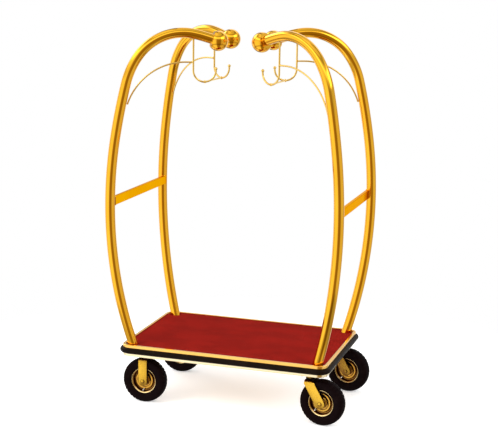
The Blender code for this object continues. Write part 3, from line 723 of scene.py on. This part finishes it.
def carpet_keeps(x, y, high, corner, slots):
    """True where the carpet has material."""
    past_x = abs(x) - (high.x - corner)
    past_y = abs(y) - (high.y - corner)
    if past_x > 0 and past_y > 0 and math.hypot(past_x, past_y) > corner:
        return False
    return all(slot_reach(x, y, slot) > 1.0 for slot in slots)


def carpet_rim_point(x, y, high, corner, slots):
    """The nearest point of the carpet's true edge."""
    for slot in slots:
        reach = slot_reach(x, y, slot)
        if reach < SLOT_PULL:
            centre = slot[0]
            return centre.x + (x - centre.x) / reach, centre.y + (y - centre.y) / reach
    past_x = abs(x) - (high.x - corner)
    past_y = abs(y) - (high.y - corner)
    if past_x > 0 and past_y > 0:
        grow = corner / math.hypot(past_x, past_y)
        x = math.copysign(high.x - corner + past_x * grow, x)
        y = math.copysign(high.y - corner + past_y * grow, y)
    return x, y


# -------------------------------------------------------------- the uprights

def bend_path(start_s, start_z, lean_deg, straight, bends, steep_step, gentle_step):
    """Stations (s, z, angle from vertical) along a tube bent in one plane.

    A bend with positive degrees turns up and inwards, a negative one down.
    """
    angle = math.radians(lean_deg)
    s = start_s
    z = start_z
    stations = [(s, z, angle)]
    s += straight * math.sin(angle)
    z += straight * math.cos(angle)
    stations.append((s, z, angle))
    for radius, degrees in bends:
        step_limit = gentle_step if radius > GENTLE_BEND_RADIUS else steep_step
        steps = max(1, round(abs(degrees) / step_limit))
        step = math.radians(degrees) / steps
        chord = 2 * radius * math.sin(abs(step) / 2)
        for _ in range(steps):
            s += chord * math.sin(angle - step / 2)
            z += chord * math.cos(angle - step / 2)
            angle -= step
            stations.append((s, z, angle))
    return stations


def plane_axes(corner_name):
    """Foot point and outward direction of one upright's plane."""
    sign_x, sign_y = CORNERS[corner_name]
    turn = math.radians(UPRIGHT_PLANE_DEG)
    outward = Vector((sign_x * math.cos(turn), sign_y * math.sin(turn), 0))
    foot = Vector((sign_x * UPRIGHT_X, sign_y * UPRIGHT_Y, 0))
    return foot, outward


def section_ring(foot, outward, station, radius, sides):
    """A circle square to the path at one station."""
    s, z, angle = station
    centre = foot + outward * s + UP * z
    across = outward * math.cos(angle) - UP * math.sin(angle)
    side = UP.cross(outward)
    return [centre + across * x + side * y for x, y in circle(radius, sides)]


def level_ring(ring, station, outward, height):
    """Slide a ring's points along the tube until they lie at one height."""
    angle = station[2]
    along = outward * math.sin(angle) + UP * math.cos(angle)
    return [point + along * ((height - point.z) / along.z) for point in ring]


def upright_stations():
    stations = bend_path(
        0.0, UPRIGHT_START_Z, UPRIGHT_LEAN_DEG, UPRIGHT_START_STRAIGHT,
        UPRIGHT_BENDS, BEND_STEP_DEG, GENTLE_BEND_STEP_DEG,
    )
    s, z, angle = stations[-1]
    end_s = s + UPRIGHT_END_STRAIGHT * math.sin(angle)
    end_z = z + UPRIGHT_END_STRAIGHT * math.cos(angle)
    return stations + [(end_s, end_z, angle)]


def upright_mesh(corner_name):
    """A hollow tube, cut level at its foot and open at both ends."""
    foot, outward = plane_axes(corner_name)
    stations = upright_stations()
    foot_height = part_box("upright_" + corner_name)[0].z
    shells = []
    for radius in (TUBE_RADIUS, TUBE_RADIUS - TUBE_WALL):
        rings = [section_ring(foot, outward, station, radius, TUBE_SIDES) for station in stations]
        rings[0] = level_ring(rings[0], stations[0], outward, foot_height)
        shells.append(rings)
    return skin(shells[0] + shells[1][::-1], loop=True)


def ball_mesh():
    """A polished ball with a turned neck ring and a shank that plugs the tube."""
    seat = -BALL_CENTRE_PAST_TUBE + GAP
    neck_top = seat + NECK_HEIGHT
    neck_radius = TUBE_RADIUS + NECK_PROUD
    neck_turn = math.acos((neck_top + 0.0006) / BALL_RADIUS)
    profile = []
    for i in range(BALL_STEPS + 1):
        angle = neck_turn * i / BALL_STEPS
        profile.append((BALL_RADIUS * math.sin(angle), BALL_RADIUS * math.cos(angle)))
    profile += rounded_profile([
        (profile[-1][0] - 0.0004, neck_top, 0.0),
        (neck_radius, neck_top, 0.0006),
        (neck_radius, seat, 0.0006),
        (SHANK_RADIUS, seat, 0.0),
        (SHANK_RADIUS, seat - SHANK_LENGTH, 0.0010),
        (0.0, seat - SHANK_LENGTH, 0.0),
    ], closed=False)
    return lathe(profile, BALL_SIDES)


def ball_matrix(corner_name):
    """Place the ball's centre just past the tube's end, in line with it."""
    foot, outward = plane_axes(corner_name)
    s, z, angle = upright_stations()[-1]
    along = outward * math.sin(angle) + UP * math.cos(angle)
    centre = foot + outward * s + UP * z + along * BALL_CENTRE_PAST_TUBE
    turn = UP.rotation_difference(along).to_matrix().to_4x4()
    return Matrix.Translation(centre) @ turn


def add_uprights():
    for corner_name in CORNERS:
        add_piece(
            "upright_tube_" + corner_name, upright_mesh(corner_name), tube_gold,
            ["upright_" + corner_name],
        )
        add_piece(
            "ball_" + corner_name, ball_mesh(), tube_gold,
            ["ball_finial_" + corner_name], ball_matrix(corner_name),
        )


# ---------------------------------------------------------------- coat hooks

def flared(count, radius, last=True):
    """Radii along a rod of count rings, with a weld flare at its first and perhaps last end."""
    radii = [radius] * count
    for i, share in enumerate(WELD_SHARES):
        radii[i] += WELD_FLARE * share
        if last:
            radii[-1 - i] += WELD_FLARE * share
    return radii


def tube_underside(s_wanted):
    """Height of an upright's lower side above a place s in its plane."""
    stations = upright_stations()
    for (s0, z0, a0), (s1, z1, _) in zip(stations, stations[1:]):
        if s1 < s_wanted <= s0:
            share = (s_wanted - s0) / (s1 - s0)
            return z0 + (z1 - z0) * share - TUBE_RADIUS / abs(math.sin(a0))
    return HOOK_TOP


def hook_stations():
    """Down the rod, round the bend and up to the tip's ball, with a radius each."""
    down = math.pi
    top = tube_underside(HOOK_S)
    weld = ((0.0012, 1.0), (-0.0008, 0.5), (-0.0028, 0.12), (-0.006, 0.0))
    stations = [
        ((HOOK_S, top + lift, down), HOOK_ROD_RADIUS + WELD_FLARE * share) for lift, share in weld
    ]
    for i in range(HOOK_BEND_STEPS + 1):
        turn = math.pi * i / HOOK_BEND_STEPS
        s = HOOK_S - HOOK_BEND_RADIUS * (1 - math.cos(turn))
        z = HOOK_BEND_Z - HOOK_BEND_RADIUS * math.sin(turn)
        stations.append(((s, z, down + turn), HOOK_ROD_RADIUS))
    tip_s = HOOK_S - 2 * HOOK_BEND_RADIUS
    for turn_deg in HOOK_TIP_TURNS_DEG:
        turn = math.radians(turn_deg)
        z = HOOK_BEND_Z + HOOK_TIP_RADIUS * (1 - math.cos(turn))
        stations.append(((tip_s, z, 2 * math.pi), HOOK_TIP_RADIUS * math.sin(turn)))
    return stations


def rod_mesh(corner_name, stations, radii):
    foot, outward = plane_axes(corner_name)
    rings = [
        section_ring(foot, outward, station, radius, ROD_SIDES)
        for station, radius in zip(stations, radii)
    ]
    return skin(rings)


def brace_stations():
    """From the hook's stem, over a wide bend, down to the upright."""
    sink = 0.0010
    start_s = HOOK_S + HOOK_ROD_RADIUS - sink
    level = math.pi / 2
    stations = [(start_s + step, BRACE_Z, level) for step in (0.0, 0.0016, 0.0034, 0.006)]
    stations += bend_path(
        BRACE_BEND_START_S - sink, BRACE_Z, 90, sink,
        ((BRACE_BEND_RADIUS, -BRACE_BEND_DEG),), BRACE_STEP_DEG, BRACE_STEP_DEG,
    )
    return stations


def add_rod(name, mesh, replaced, matrix=None):
    add_piece(name, mesh, rod_gold, [replaced], matrix, sharp_deg=ROD_SHARP_DEG)


def add_hooks():
    hook_path, hook_radii = zip(*hook_stations())
    brace_path = brace_stations()
    brace_radii = flared(len(brace_path), BRACE_ROD_RADIUS, last=False)
    for corner_name in CORNERS:
        hook_rod = rod_mesh(corner_name, hook_path, hook_radii)
        add_rod("hook_rod_" + corner_name, hook_rod, "hook_" + corner_name)
        brace_rod = rod_mesh(corner_name, brace_path, brace_radii)
        add_rod("brace_rod_" + corner_name, brace_rod, "hook_brace_" + corner_name)
    for side in SIDES:
        low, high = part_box("hook_link_" + side)
        half = high.y + 0.004
        reaches = [-half + step for step in (0.0, 0.0018, 0.0036, 0.007)]
        heights = reaches + [-reach for reach in reversed(reaches)]
        radii = flared(len(heights), BRACE_ROD_RADIUS)
        profile = [(0.0, -half), *zip(radii, heights), (0.0, half)]
        spot = Matrix.Translation(((low.x + high.x) / 2, 0, (low.z + high.z) / 2))
        add_rod("link_rod_" + side, about_y(lathe(profile, ROD_SIDES)), "hook_link_" + side, spot)


# ----------------------------------------------------------------- push bars

def divided(outline, spacing):
    """Add points to an outline's long straight sides."""
    fine = []
    for (point, normal), (following, _) in zip(outline, outline[1:] + outline[:1]):
        fine.append((point, normal))
        parts = int((following - point).length / spacing)
        for k in range(1, parts):
            fine.append((point.lerp(following, k / parts), normal))
    return fine


def tube_centre(corner_name, height):
    """The middle of one upright's tube where it passes a height below its bends."""
    foot, outward = plane_axes(corner_name)
    stations = upright_stations()
    for (low_s, low_z, _), (high_s, high_z, _) in zip(stations, stations[1:]):
        if low_z <= height <= high_z:
            s = low_s + (high_s - low_s) * (height - low_z) / (high_z - low_z)
            return foot + outward * s
    raise ValueError("no tube at that height")


def coped_contour(centre, half, inset, tube):
    """(point, normal) round the bar's section, each point slid along Y to meet a tube."""
    reach = TUBE_RADIUS + GAP
    end = math.copysign(1, tube.y)
    contour = []
    outline = rounded_outline(half.x - inset, half.z - inset, PUSH_BAR_CORNER - inset, 5)
    for point, normal in divided(outline, BEAD_SPACING):
        x = centre.x + point.x
        aside = x - tube.x
        y = half.y
        if abs(aside) < reach:
            y = min(y, abs(tube.y) - math.sqrt(reach ** 2 - aside ** 2))
        contour.append((Vector((x, end * y, centre.z + point.y)), Vector((normal.x, 0, normal.y))))
    return contour


def weld_bead(contour):
    """A thin uneven bead that follows a coped end."""
    rings = []
    for k, (point, normal) in enumerate(contour):
        radius = WELD_RADIUS * (1 + WELD_RIPPLE * math.sin(WELD_RIPPLE_STEP * k))
        rings.append([point + normal * x + Vector((0, y, 0)) for x, y in circle(radius, 10)])
    return skin(rings, loop=True)


def add_push_bars():
    for side in SIDES:
        low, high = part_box("push_bar_" + side)
        centre = (low + high) / 2
        half = (high - low) / 2
        tubes = [tube_centre(end + "_" + side, centre.z) for end in ENDS]
        outer, inner = [
            [[point for point, _ in coped_contour(centre, half, inset, tube)] for tube in tubes]
            for inset in (0.0, PUSH_BAR_WALL)
        ]
        bar = skin(outer + inner[::-1], loop=True)
        add_piece("push_bar_tube_" + side, bar, bar_gold, ["push_bar_" + side])
        beads = combined(weld_bead(coped_contour(centre, half, 0.0, tube)) for tube in tubes)
        add_piece("push_bar_welds_" + side, beads, bar_gold, sharp_deg=70)


# ------------------------------------------------------------------- casters

def hex_head(radius, height):
    """A hexagon head with a chamfered top, on a washer, rising along Z."""
    washer_radius = radius * 1.25
    washer_top = height * 0.2
    chamfer = 0.86
    washer = lathe([
        (0.0, 0.0), (washer_radius, 0.0), (washer_radius, washer_top), (0.0, washer_top),
    ], 24)
    head = lathe([
        (0.0, washer_top), (radius, washer_top), (radius, height * chamfer),
        (radius * chamfer, height), (0.0, height),
    ], 6)
    return combined([washer, head])


# One fork, measured from the seat's centre: the crown's top and its reach back and
# forward, the legs' half width, where they leave the crown, and the axle's trail and height.
ForkShape = namedtuple("ForkShape", "crown_top crown_back crown_front half_width leg_offset trail axle_z")


def leg_edges(z, shape):
    """Both edges, in X, of a fork leg at height z: a strip with a round end at the axle."""
    leg_top = shape.crown_top - FORK_THICKNESS / 2 - FORK_BEND_RADIUS
    top = Vector((shape.leg_offset, leg_top))
    end = Vector((shape.trail, shape.axle_z))
    along = (end - top).normalized()
    across = Vector((-along.y, along.x))
    edges = []
    for sign in (-1, 1):
        tangent = end + across * (sign * shape.half_width)
        if z >= tangent.y:
            edges.append(tangent.x + (z - tangent.y) * along.x / along.y)
        else:
            drop = min(shape.half_width, abs(z - end.y))
            edges.append(end.x + sign * math.sqrt(shape.half_width ** 2 - drop ** 2))
    return edges


def fork_stations(shape):
    """(y, z, direction, x edges) from the crown down one leg."""
    mid_y = FORK_INNER_HALF + FORK_THICKNESS / 2
    mid_z = shape.crown_top - FORK_THICKNESS / 2
    bend_y = mid_y - FORK_BEND_RADIUS
    bend_z = mid_z - FORK_BEND_RADIUS
    leg_low, leg_high = leg_edges(bend_z, shape)
    stations = []
    for i in range(FORK_BEND_STEPS + 1):
        angle = math.pi / 2 * i / FORK_BEND_STEPS
        y = bend_y + FORK_BEND_RADIUS * math.sin(angle)
        z = bend_z + FORK_BEND_RADIUS * math.cos(angle)
        to_crown = (1 + math.cos(2 * angle)) / 2
        low = leg_low + (-shape.crown_back - leg_low) * to_crown
        high = leg_high + (shape.crown_front - leg_high) * to_crown
        stations.append((y, z, angle, (low, high)))
    heights = [shape.axle_z + shape.half_width * share for share in (1.8, 1.0, 0.7, 0.35, 0.0)]
    heights += [
        shape.axle_z - shape.half_width * math.sin(math.radians(a)) for a in range(6, 90, 6)
    ]
    for z in heights:
        stations.append((mid_y, z, math.pi / 2, leg_edges(z, shape)))
    return stations


def strip_ring(y, z, angle, edges):
    """A rounded rectangle across the fork's strip."""
    middle = sum(edges) / 2
    half_width = abs(edges[1] - edges[0]) / 2
    corner = min(FORK_EDGE, half_width * 0.9)
    ring = []
    for point, _ in rounded_outline(half_width, FORK_THICKNESS / 2, corner, 3):
        out = point.y
        ring.append(Vector((middle + point.x, y + out * math.sin(angle), z + out * math.cos(angle))))
    return ring


def fork_mesh(shape):
    """A strip bent down at both ends of its crown, with rounded edges."""
    leg = fork_stations(shape)
    both = [(-y, z, -angle, edges) for y, z, angle, edges in reversed(leg)] + leg
    return skin([strip_ring(*station) for station in both])


def axle_mesh():
    """A bolt across the fork: hexagon head, washers and a domed lock nut."""
    face = FORK_INNER_HALF + FORK_THICKNESS + GAP
    shaft = turned([
        (0.0, -face, 0.0), (AXLE_RADIUS, -face, 0.0), (AXLE_RADIUS, face, 0.0), (0.0, face, 0.0),
    ], 24)
    tip = lathe([(0.0, 0.0), (0.0048, 0.0), (0.0042, 0.0008), (0.0, 0.0012)], 20)
    return combined([
        shaft,
        moved(hex_head(*AXLE_HEAD), Matrix.Translation((0, 0, face))),
        moved(hex_head(*AXLE_HEAD), Matrix.Translation((0, 0, -face)) @ FLIPPED),
        moved(tip, Matrix.Translation((0, 0, -face - AXLE_HEAD[1])) @ FLIPPED),
    ])


def plate_mesh(with_boss):
    """A top plate with broken edges, and on a rigid caster the boss under it."""
    low, high = [corner.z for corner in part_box("caster_plate_front_right")]
    levels = (
        (low, PLATE_EDGE), (low + PLATE_EDGE, 0.0), (high - PLATE_EDGE, 0.0), (high, PLATE_EDGE),
    )
    rings = []
    for z, inset in levels:
        outline = rounded_outline(PLATE_HALF_X - inset, PLATE_HALF_Y - inset, PLATE_CORNER - inset, 8)
        rings.append([point + UP * z for point, _ in outline])
    plate = skin(rings)
    if not with_boss:
        return plate
    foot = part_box("caster_plate_front_left")[0].z
    boss = turned([
        (0.0, foot, 0.0),
        (BOSS_RADIUS - 0.001, foot, 0.0010),
        (BOSS_RADIUS, (foot + low) / 2, 0.002),
        (BOSS_RADIUS - 0.0015, low - 0.0004, 0.0012),
        (BOSS_RADIUS + 0.001, low + 0.0002, 0.0),
        (0.0, low + 0.0002, 0.0),
    ], 48)
    return combined([plate, boss])


def plate_bolts_mesh():
    """Four hexagon heads under the plate."""
    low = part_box("caster_plate_front_right")[0].z
    return combined(
        moved(hex_head(*PLATE_BOLT_HEAD), Matrix.Translation((x, y, low)) @ FLIPPED)
        for x in (-PLATE_BOLT_X, PLATE_BOLT_X) for y in (-PLATE_BOLT_Y, PLATE_BOLT_Y)
    )


def ring_mesh(node, inner, bulge):
    """A turned ring as tall as a CAD node, with a rounded outside."""
    low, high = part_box(node)
    outer = (high.x - low.x) / 2
    middle = (low.z + high.z) / 2
    return lathe(rounded_profile([
        (inner, low.z, 0.0003), (outer - bulge, low.z, 0.0006), (outer, middle, 0.0016),
        (outer - bulge, high.z, 0.0006), (inner, high.z, 0.0003),
    ], steps=5), 56, loop=True)


def kingpin_mesh(end):
    """A rivet through the crown, its head chamfered below."""
    low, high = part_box("kingpin_" + end)
    head = (high.x - low.x) / 2
    crown_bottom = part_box("swivel_fork_" + end)[1].z - FORK_THICKNESS - GAP
    return turned([
        (0.0, low.z, 0.0),
        (head * 0.6, low.z, 0.0008),
        (head, (low.z + crown_bottom) / 2, 0.0006),
        (head, crown_bottom, 0.0002),
        (KINGPIN_RADIUS, crown_bottom, 0.0),
        (KINGPIN_RADIUS, high.z, 0.0008),
        (0.0, high.z, 0.0),
    ], 32)


def spin_place(corner_name):
    """The wheel's place and heading, from its spin joint."""
    joint = JOINTS["wheel_spin_" + corner_name]
    axis = joint["axis"]
    return Vector(joint["pos_m"]), math.atan2(-axis[0], axis[1])


def add_casters():
    for corner_name in CORNERS:
        end, side = corner_name.split("_")
        centre, heading = spin_place(corner_name)
        swivels = side == "right"
        seat_at = Vector(JOINTS["swivel_turn_" + end]["pos_m"]) if swivels else centre
        seat = place(seat_at.x, seat_at.y)
        plate = plate_mesh(not swivels)
        add_piece(
            "plate_" + corner_name, plate, caster_gold,
            ["caster_plate_" + corner_name], seat,
        )
        add_piece("plate_bolts_" + corner_name, plate_bolts_mesh(), dark_steel, (), seat)
        fork_body = "swivel_" + end if swivels else FRAME_BODY
        fork_node = ("swivel_fork_" if swivels else "rigid_fork_") + end
        crown_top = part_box(fork_node)[1].z
        half = RIGID_LEG_HALF_WIDTH
        shape = ForkShape(crown_top, half, half, half, 0.0, 0.0, centre.z)
        if swivels:
            shape = ForkShape(
                crown_top, SWIVEL_CROWN_BACK, SWIVEL_CROWN_FRONT, SWIVEL_LEG_HALF_WIDTH,
                SWIVEL_LEG_OFFSET, (centre - seat_at).to_2d().length, centre.z,
            )
        for name, mesh, node, spot in (
            ("fork_", fork_mesh(shape), fork_node, place(seat_at.x, seat_at.y, 0.0, heading)),
            ("axle_bolt_", about_y(axle_mesh()), "axle_" + corner_name, place(*centre, heading)),
        ):
            add_piece(name + corner_name, mesh, caster_gold, [node], spot, fork_body)
        if swivels:
            add_swivel_bearing(end, seat)


def add_swivel_bearing(end, seat):
    for part, inner, bulge, material, slot in (
        ("raceway_", RACEWAY_BORE, 0.0012, caster_gold, "gold_caster"),
        ("seal_", SEAL_BORE, 0.0008, seal_rubber, "black_seal"),
    ):
        node = "swivel_" + part + end
        add_piece("turning_" + part + end, ring_mesh(node, inner, bulge), material, [node], seat)
    add_piece("kingpin_rivet_" + end, kingpin_mesh(end), dark_steel, ["kingpin_" + end], seat)


# -------------------------------------------------------------------- wheels

def both_sides(half_profile):
    """Mirror (radius, offset) points to the other side of the wheel."""
    return list(half_profile) + [(radius, -offset) for radius, offset in reversed(half_profile)]


def smooth_curve(points, steps):
    """A Catmull-Rom curve through points."""
    knots = [Vector(points[0])] + [Vector(point) for point in points] + [Vector(points[-1])]
    curve = []
    for a, b, c, d in zip(knots, knots[1:], knots[2:], knots[3:]):
        for i in range(steps):
            t = i / steps
            bend = (2 * a - 5 * b + 4 * c - d) * t ** 2 + (3 * b - a - 3 * c + d) * t ** 3
            curve.append(tuple(0.5 * (2 * b + (c - a) * t + bend)))
    return curve + [tuple(points[-1])]


def rim_mesh():
    """A pressed rim: hub barrel, ribbed disc, dished well and a rolled flange."""
    half_profile = rounded_profile([
        (HUB_BORE_RADIUS, HUB_HALF_LENGTH, 0.0005),
        (0.0165, HUB_HALF_LENGTH, 0.0012),
        (0.0170, 0.0120, 0.0030),
        (0.0235, 0.0104, 0.0020),
        (0.0262, 0.0088, 0.0018),
        (0.0330, 0.0088, 0.0018),
        (0.0356, 0.0120, 0.0018),
        (0.0440, 0.0120, 0.0030),
        (0.0478, 0.0036, 0.0024),
        (0.0530, 0.0036, 0.0024),
        (0.0560, 0.0190, 0.0030),
        (0.0596, 0.0218, 0.0014),
        (0.0622, 0.0234, 0.0011),
        (0.0636, 0.0224, 0.0007),
        (0.0630, 0.0208, 0.0006),
        (0.0562, 0.0182, 0.0),
    ], steps=4, closed=False)
    return about_y(lathe(both_sides(half_profile), 72, loop=True))


def tread_cut(offset, share):
    """How deep the tread is cut at an offset and a share of the pitch."""
    distance = abs(offset)
    groove_end = RIB_HALF_WIDTH + GROOVE_WIDTH
    in_ring_groove = RIB_HALF_WIDTH < distance < groove_end
    in_shoulder_groove = distance >= groove_end and in_cross_groove(offset, share)
    return TREAD_DEPTH if in_ring_groove or in_shoulder_groove else 0.0


def in_cross_groove(offset, share):
    """True between a cross groove's walls; the two shoulders are half a pitch apart."""
    side_share = (share + (0.5 if offset > 0 else 0.0)) % 1.0
    return CROSS_GROOVE[0] < side_share < CROSS_GROOVE[1]


def crown_points(share):
    """Across the crown from -Y to +Y, with points close together at the groove walls."""
    groove_end = RIB_HALF_WIDTH + GROOVE_WIDTH
    right = [
        RIB_HALF_WIDTH, RIB_HALF_WIDTH + GROOVE_WALL, groove_end - GROOVE_WALL, groove_end,
        *SHOULDER_OFFSETS,
    ]
    points = []
    for offset in [-offset for offset in reversed(right)] + [0.0] + right:
        radius = TYRE_RADIUS - SHOULDER_DROP * (abs(offset) / SHOULDER_HALF) ** CROWN_POWER
        points.append((radius - tread_cut(offset, share), offset))
    return points


def wall_points(wall, sign, share):
    """One sidewall with the open ends of the shoulder grooves and two raised rings."""
    points = []
    for radius, offset in wall[1:]:
        runout = max(0.0, min(1.0, (radius - GROOVE_RUNOUT_RADIUS) / GROOVE_RUNOUT))
        cut = TREAD_DEPTH * runout if in_cross_groove(sign * offset, share) else 0.0
        on_ring = any(abs(radius - middle) < half for middle, half in WALL_RINGS)
        raised = WALL_RING_HEIGHT if on_ring else 0.0
        points.append((radius - cut, sign * (offset + raised - cut * 0.5)))
    return points


def tyre_mesh():
    """A fat tyre with a middle rib, two grooves and staggered shoulder blocks."""
    wall = smooth_curve([
        (TYRE_RADIUS - SHOULDER_DROP, SHOULDER_HALF), (0.1035, 0.0262), (0.0985, 0.0288),
        (0.0920, 0.0299), (0.0850, 0.0298), (0.0770, 0.0285), (0.0705, 0.0266),
        (0.0662, 0.0247), (0.0648, 0.0228),
    ], 3)
    bead = [(BEAD_RADIUS, BEAD_HALF), (BEAD_RADIUS, -BEAD_HALF)]
    sections = []
    for share in [half + part for half in (0.0, 0.5) for part in HALF_PITCH_SHARES]:
        left = wall_points(wall, -1, share)
        profile = crown_points(share) + wall_points(wall, 1, share) + bead + left[::-1]
        sections.append((share, profile))
    rings = []
    for pitch in range(TREAD_PITCHES):
        for share, profile in sections:
            turn = 2 * math.pi * (pitch + share) / TREAD_PITCHES
            rings.append([
                Vector((radius * math.cos(turn), offset, radius * math.sin(turn)))
                for radius, offset in profile
            ])
    return skin(rings, loop=True)


def bearing_mesh():
    """A hub sleeve with a raised lip at each end."""
    half_profile = rounded_profile([
        (0.0056, 0.0323, 0.0003), (0.0086, 0.0323, 0.0006), (0.0090, 0.0300, 0.0004), (0.0088, 0.0292, 0.0),
    ], steps=3, closed=False)
    return about_y(lathe(both_sides(half_profile), 32, loop=True))


def valve_mesh(node_length):
    """A stem with a grooved cap, rising along Z."""
    rise = node_length * 0.42
    profile = [(0.0, 0.0), (0.0036, 0.0), (0.0036, 0.0016), (0.0026, 0.0022), (0.0026, rise)]
    while rise < node_length - 0.0022:
        profile += [(0.0032, rise), (0.0032, rise + 0.0007), (0.0029, rise + 0.0010)]
        rise += 0.0013
    profile += [(0.0030, node_length - 0.0012), (0.0022, node_length - 0.0002), (0.0, node_length)]
    return lathe(profile, 20)


def add_wheels():
    for corner_name in CORNERS:
        centre, heading = spin_place(corner_name)
        body = "wheel_" + corner_name
        at_hub = place(*centre, heading)
        # Each rim's gold carries painted shade in nooks and in its well, and a painted highlight on its
        # flange.
        rim_gold = gold(
            "gold_rim_" + corner_name, (0.96, 0.54, 0.08), (0.86, 0.42, 0.05), 0.12, 0.22, 0.1,
            PAINTED_NOOK_SHADE, wheel=(centre, heading),
        )
        for name, mesh, material, slot, node, sharp_deg in (
            ("rim_disc_", rim_mesh(), rim_gold, "gold_rim", "rim_", SHARP_DEG),
            ("tyre_tread_", tyre_mesh(), tyre_rubber, "tyre_rubber", "tyre_", TYRE_SHARP_DEG),
            ("hub_sleeve_", bearing_mesh(), bright_steel, "bare_steel", "hub_bearing_", SHARP_DEG),
        ):
            add_piece(
                name + corner_name, mesh, material, [node + corner_name], at_hub, body, sharp_deg
            )
        add_valve(corner_name, body, heading)


def add_valve(corner_name, body, heading):
    """The valve points out of the dish along the wheel's own -Y."""
    low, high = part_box("valve_" + corner_name)
    middle = (low + high) / 2
    across = 2 * VALVE_RADIUS * abs(math.sin(heading))
    length = (high.y - low.y - across) / math.cos(heading)
    outward = Vector((math.sin(heading), -math.cos(heading), 0))
    start = middle - outward * (length / 2)
    add_piece(
        "valve_stem_" + corner_name, about_y(valve_mesh(length)), valve_metal,
        ["valve_" + corner_name], place(*start, heading), body,
    )


# ---------------------------------------------------------------- the studio

def add_floor():
    """A pale disc whose edge fades out."""
    recipe = Recipe("studio_floor", roughness=0.8, specular_ior_level=0.0)
    tone = recipe.spread(recipe.noise(1.5, 3.0), 0.3, 0.7)
    recipe.shade(
        base_color=recipe.blend(tone, (0.90, 0.90, 0.90), (0.93, 0.93, 0.93)),
        emission_color=WHITE, emission_strength=FLOOR_GLOW,
        alpha=recipe.spread(recipe.length(recipe.place), FLOOR_SOLID, FLOOR_RADIUS, 1.0, 0.0),
    )
    disc = lathe([(0.0, 0.0), (FLOOR_RADIUS, 0.0)], 96)
    floor = mesh_object("studio_floor", disc, recipe.material)
    floor.visible_glossy = False


def add_camera():
    azimuth = math.radians(CAMERA_AZIMUTH_DEG)
    elevation = math.radians(CAMERA_ELEVATION_DEG)
    forward = Vector((
        -math.sin(azimuth) * math.cos(elevation),
        math.cos(azimuth) * math.cos(elevation),
        -math.sin(elevation),
    ))
    level = Vector((math.cos(azimuth), math.sin(azimuth), 0))
    roll = math.radians(CAMERA_ROLL_DEG)
    right = level * math.cos(roll) + level.cross(forward) * math.sin(roll)
    up = right.cross(forward)
    data = bpy.data.cameras.new("photo_camera")
    data.lens = CAMERA_LENS_MM
    data.sensor_width = CAMERA_SENSOR_MM
    camera = add_object("photo_camera", data)
    turn = Matrix((right, up, -forward)).transposed().to_4x4()
    camera.matrix_world = Matrix.Translation(CAMERA_PLACE) @ turn
    bpy.context.scene.camera = camera


def add_soft_light(name, place_at, aim, size, power, colour=WHITE):
    data = bpy.data.lights.new(name, "AREA")
    data.shape = "RECTANGLE"
    data.size, data.size_y = size
    data.energy = power
    data.color = colour
    lamp = add_object(name, data)
    lamp.visible_glossy = False
    lamp.location = place_at
    lamp.rotation_euler = (Vector(aim) - Vector(place_at)).to_track_quat("-Z", "Y").to_euler()


def add_studio_world():
    """A white room with soft bands and windows, and a dark wall behind the photographer."""
    world = bpy.data.worlds.new("studio_world")
    bpy.context.scene.world = world
    world.use_nodes = True
    sky = Graph(world.node_tree)
    direction = sky.node("TexCoord", {}).outputs["Generated"]
    split = sky.node("SeparateXYZ", {0: direction})
    rise = split.outputs["Z"]
    level_squared = sky.maths("SUBTRACT", 1.0, sky.product(rise, rise))
    level = sky.maths("SQRT", sky.maths("MAXIMUM", level_squared, ALMOST_ZERO))

    def facing(off_camera_deg):
        """Cosine of the level angle to an azimuth given off the camera's."""
        azimuth = math.radians(CAMERA_AZIMUTH_DEG + off_camera_deg)
        across = sky.product(split.outputs["X"], math.sin(azimuth))
        away = sky.product(split.outputs["Y"], -math.cos(azimuth))
        return sky.maths("DIVIDE", sky.maths("ADD", across, away), level)

    def smooth(value, low, high, start=0.0, end=1.0):
        return sky.spread(value, low, high, start, end, interpolation_type="SMOOTHSTEP")

    def belt(low, high, edge, change):
        """A level belt of the room between two rises, with soft edges."""
        top_edge = smooth(rise, high, high + edge, 1.0, 0.0)
        return sky.product(smooth(rise, low, low + edge, end=change), top_edge)

    dark = sky.product(smooth(facing(10), 0.78, 0.975), smooth(rise, 0.15, 0.55, 1.0, 0.0))
    dim_side = smooth(facing(75), 0.2, 0.95, 1.0, 0.84)
    bright_side = smooth(facing(-90), 0.1, 0.85, 1.0, 1.32)
    light = sky.product(dim_side, bright_side)
    for low, high, change in CEILING_BANDS:
        light = sky.product(light, sky.maths("ADD", 1.0, belt(low, high, BAND_EDGE, change)))
    window_height = belt(*WINDOW_RISE, WINDOW_EDGE, 1.0)
    for azimuth in WINDOWS:
        pane = smooth(facing(azimuth), 0.90, 0.96, end=WINDOW_GLOW)
        light = sky.maths("ADD", light, sky.product(pane, window_height))
    for azimuth, depth in POSTS:
        post = smooth(facing(azimuth), 0.975, 0.996, end=depth)
        light = sky.product(light, sky.maths("SUBTRACT", 1.0, post))
    seen = sky.node("LightPath", {}).outputs["Is Camera Ray"]
    unseen = sky.maths("SUBTRACT", 1.0, seen)
    tint = sky.blend(sky.product(dark, unseen), WHITE, DARK_WALL)
    background = sky.tree.nodes["Background"]
    sky.feed(background.inputs["Color"], tint)
    sky.feed(background.inputs["Strength"], sky.maths("ADD", seen, sky.product(unseen, light)))


add_deck()
add_carpet()
add_uprights()
add_hooks()
add_push_bars()
add_casters()
add_wheels()
add_floor()
add_camera()
add_studio_world()
add_soft_light("key_light", (-2.6, -3.2, 3.4), (0.0, 0.0, 0.8), (2.2, 2.2), 110.0, (1.0, 0.98, 0.95))
add_soft_light("fill_light", (3.6, -1.6, 2.4), (0.0, 0.0, 0.8), (1.6, 2.4), 45.0)
bpy.context.scene.view_settings.view_transform = "Standard"
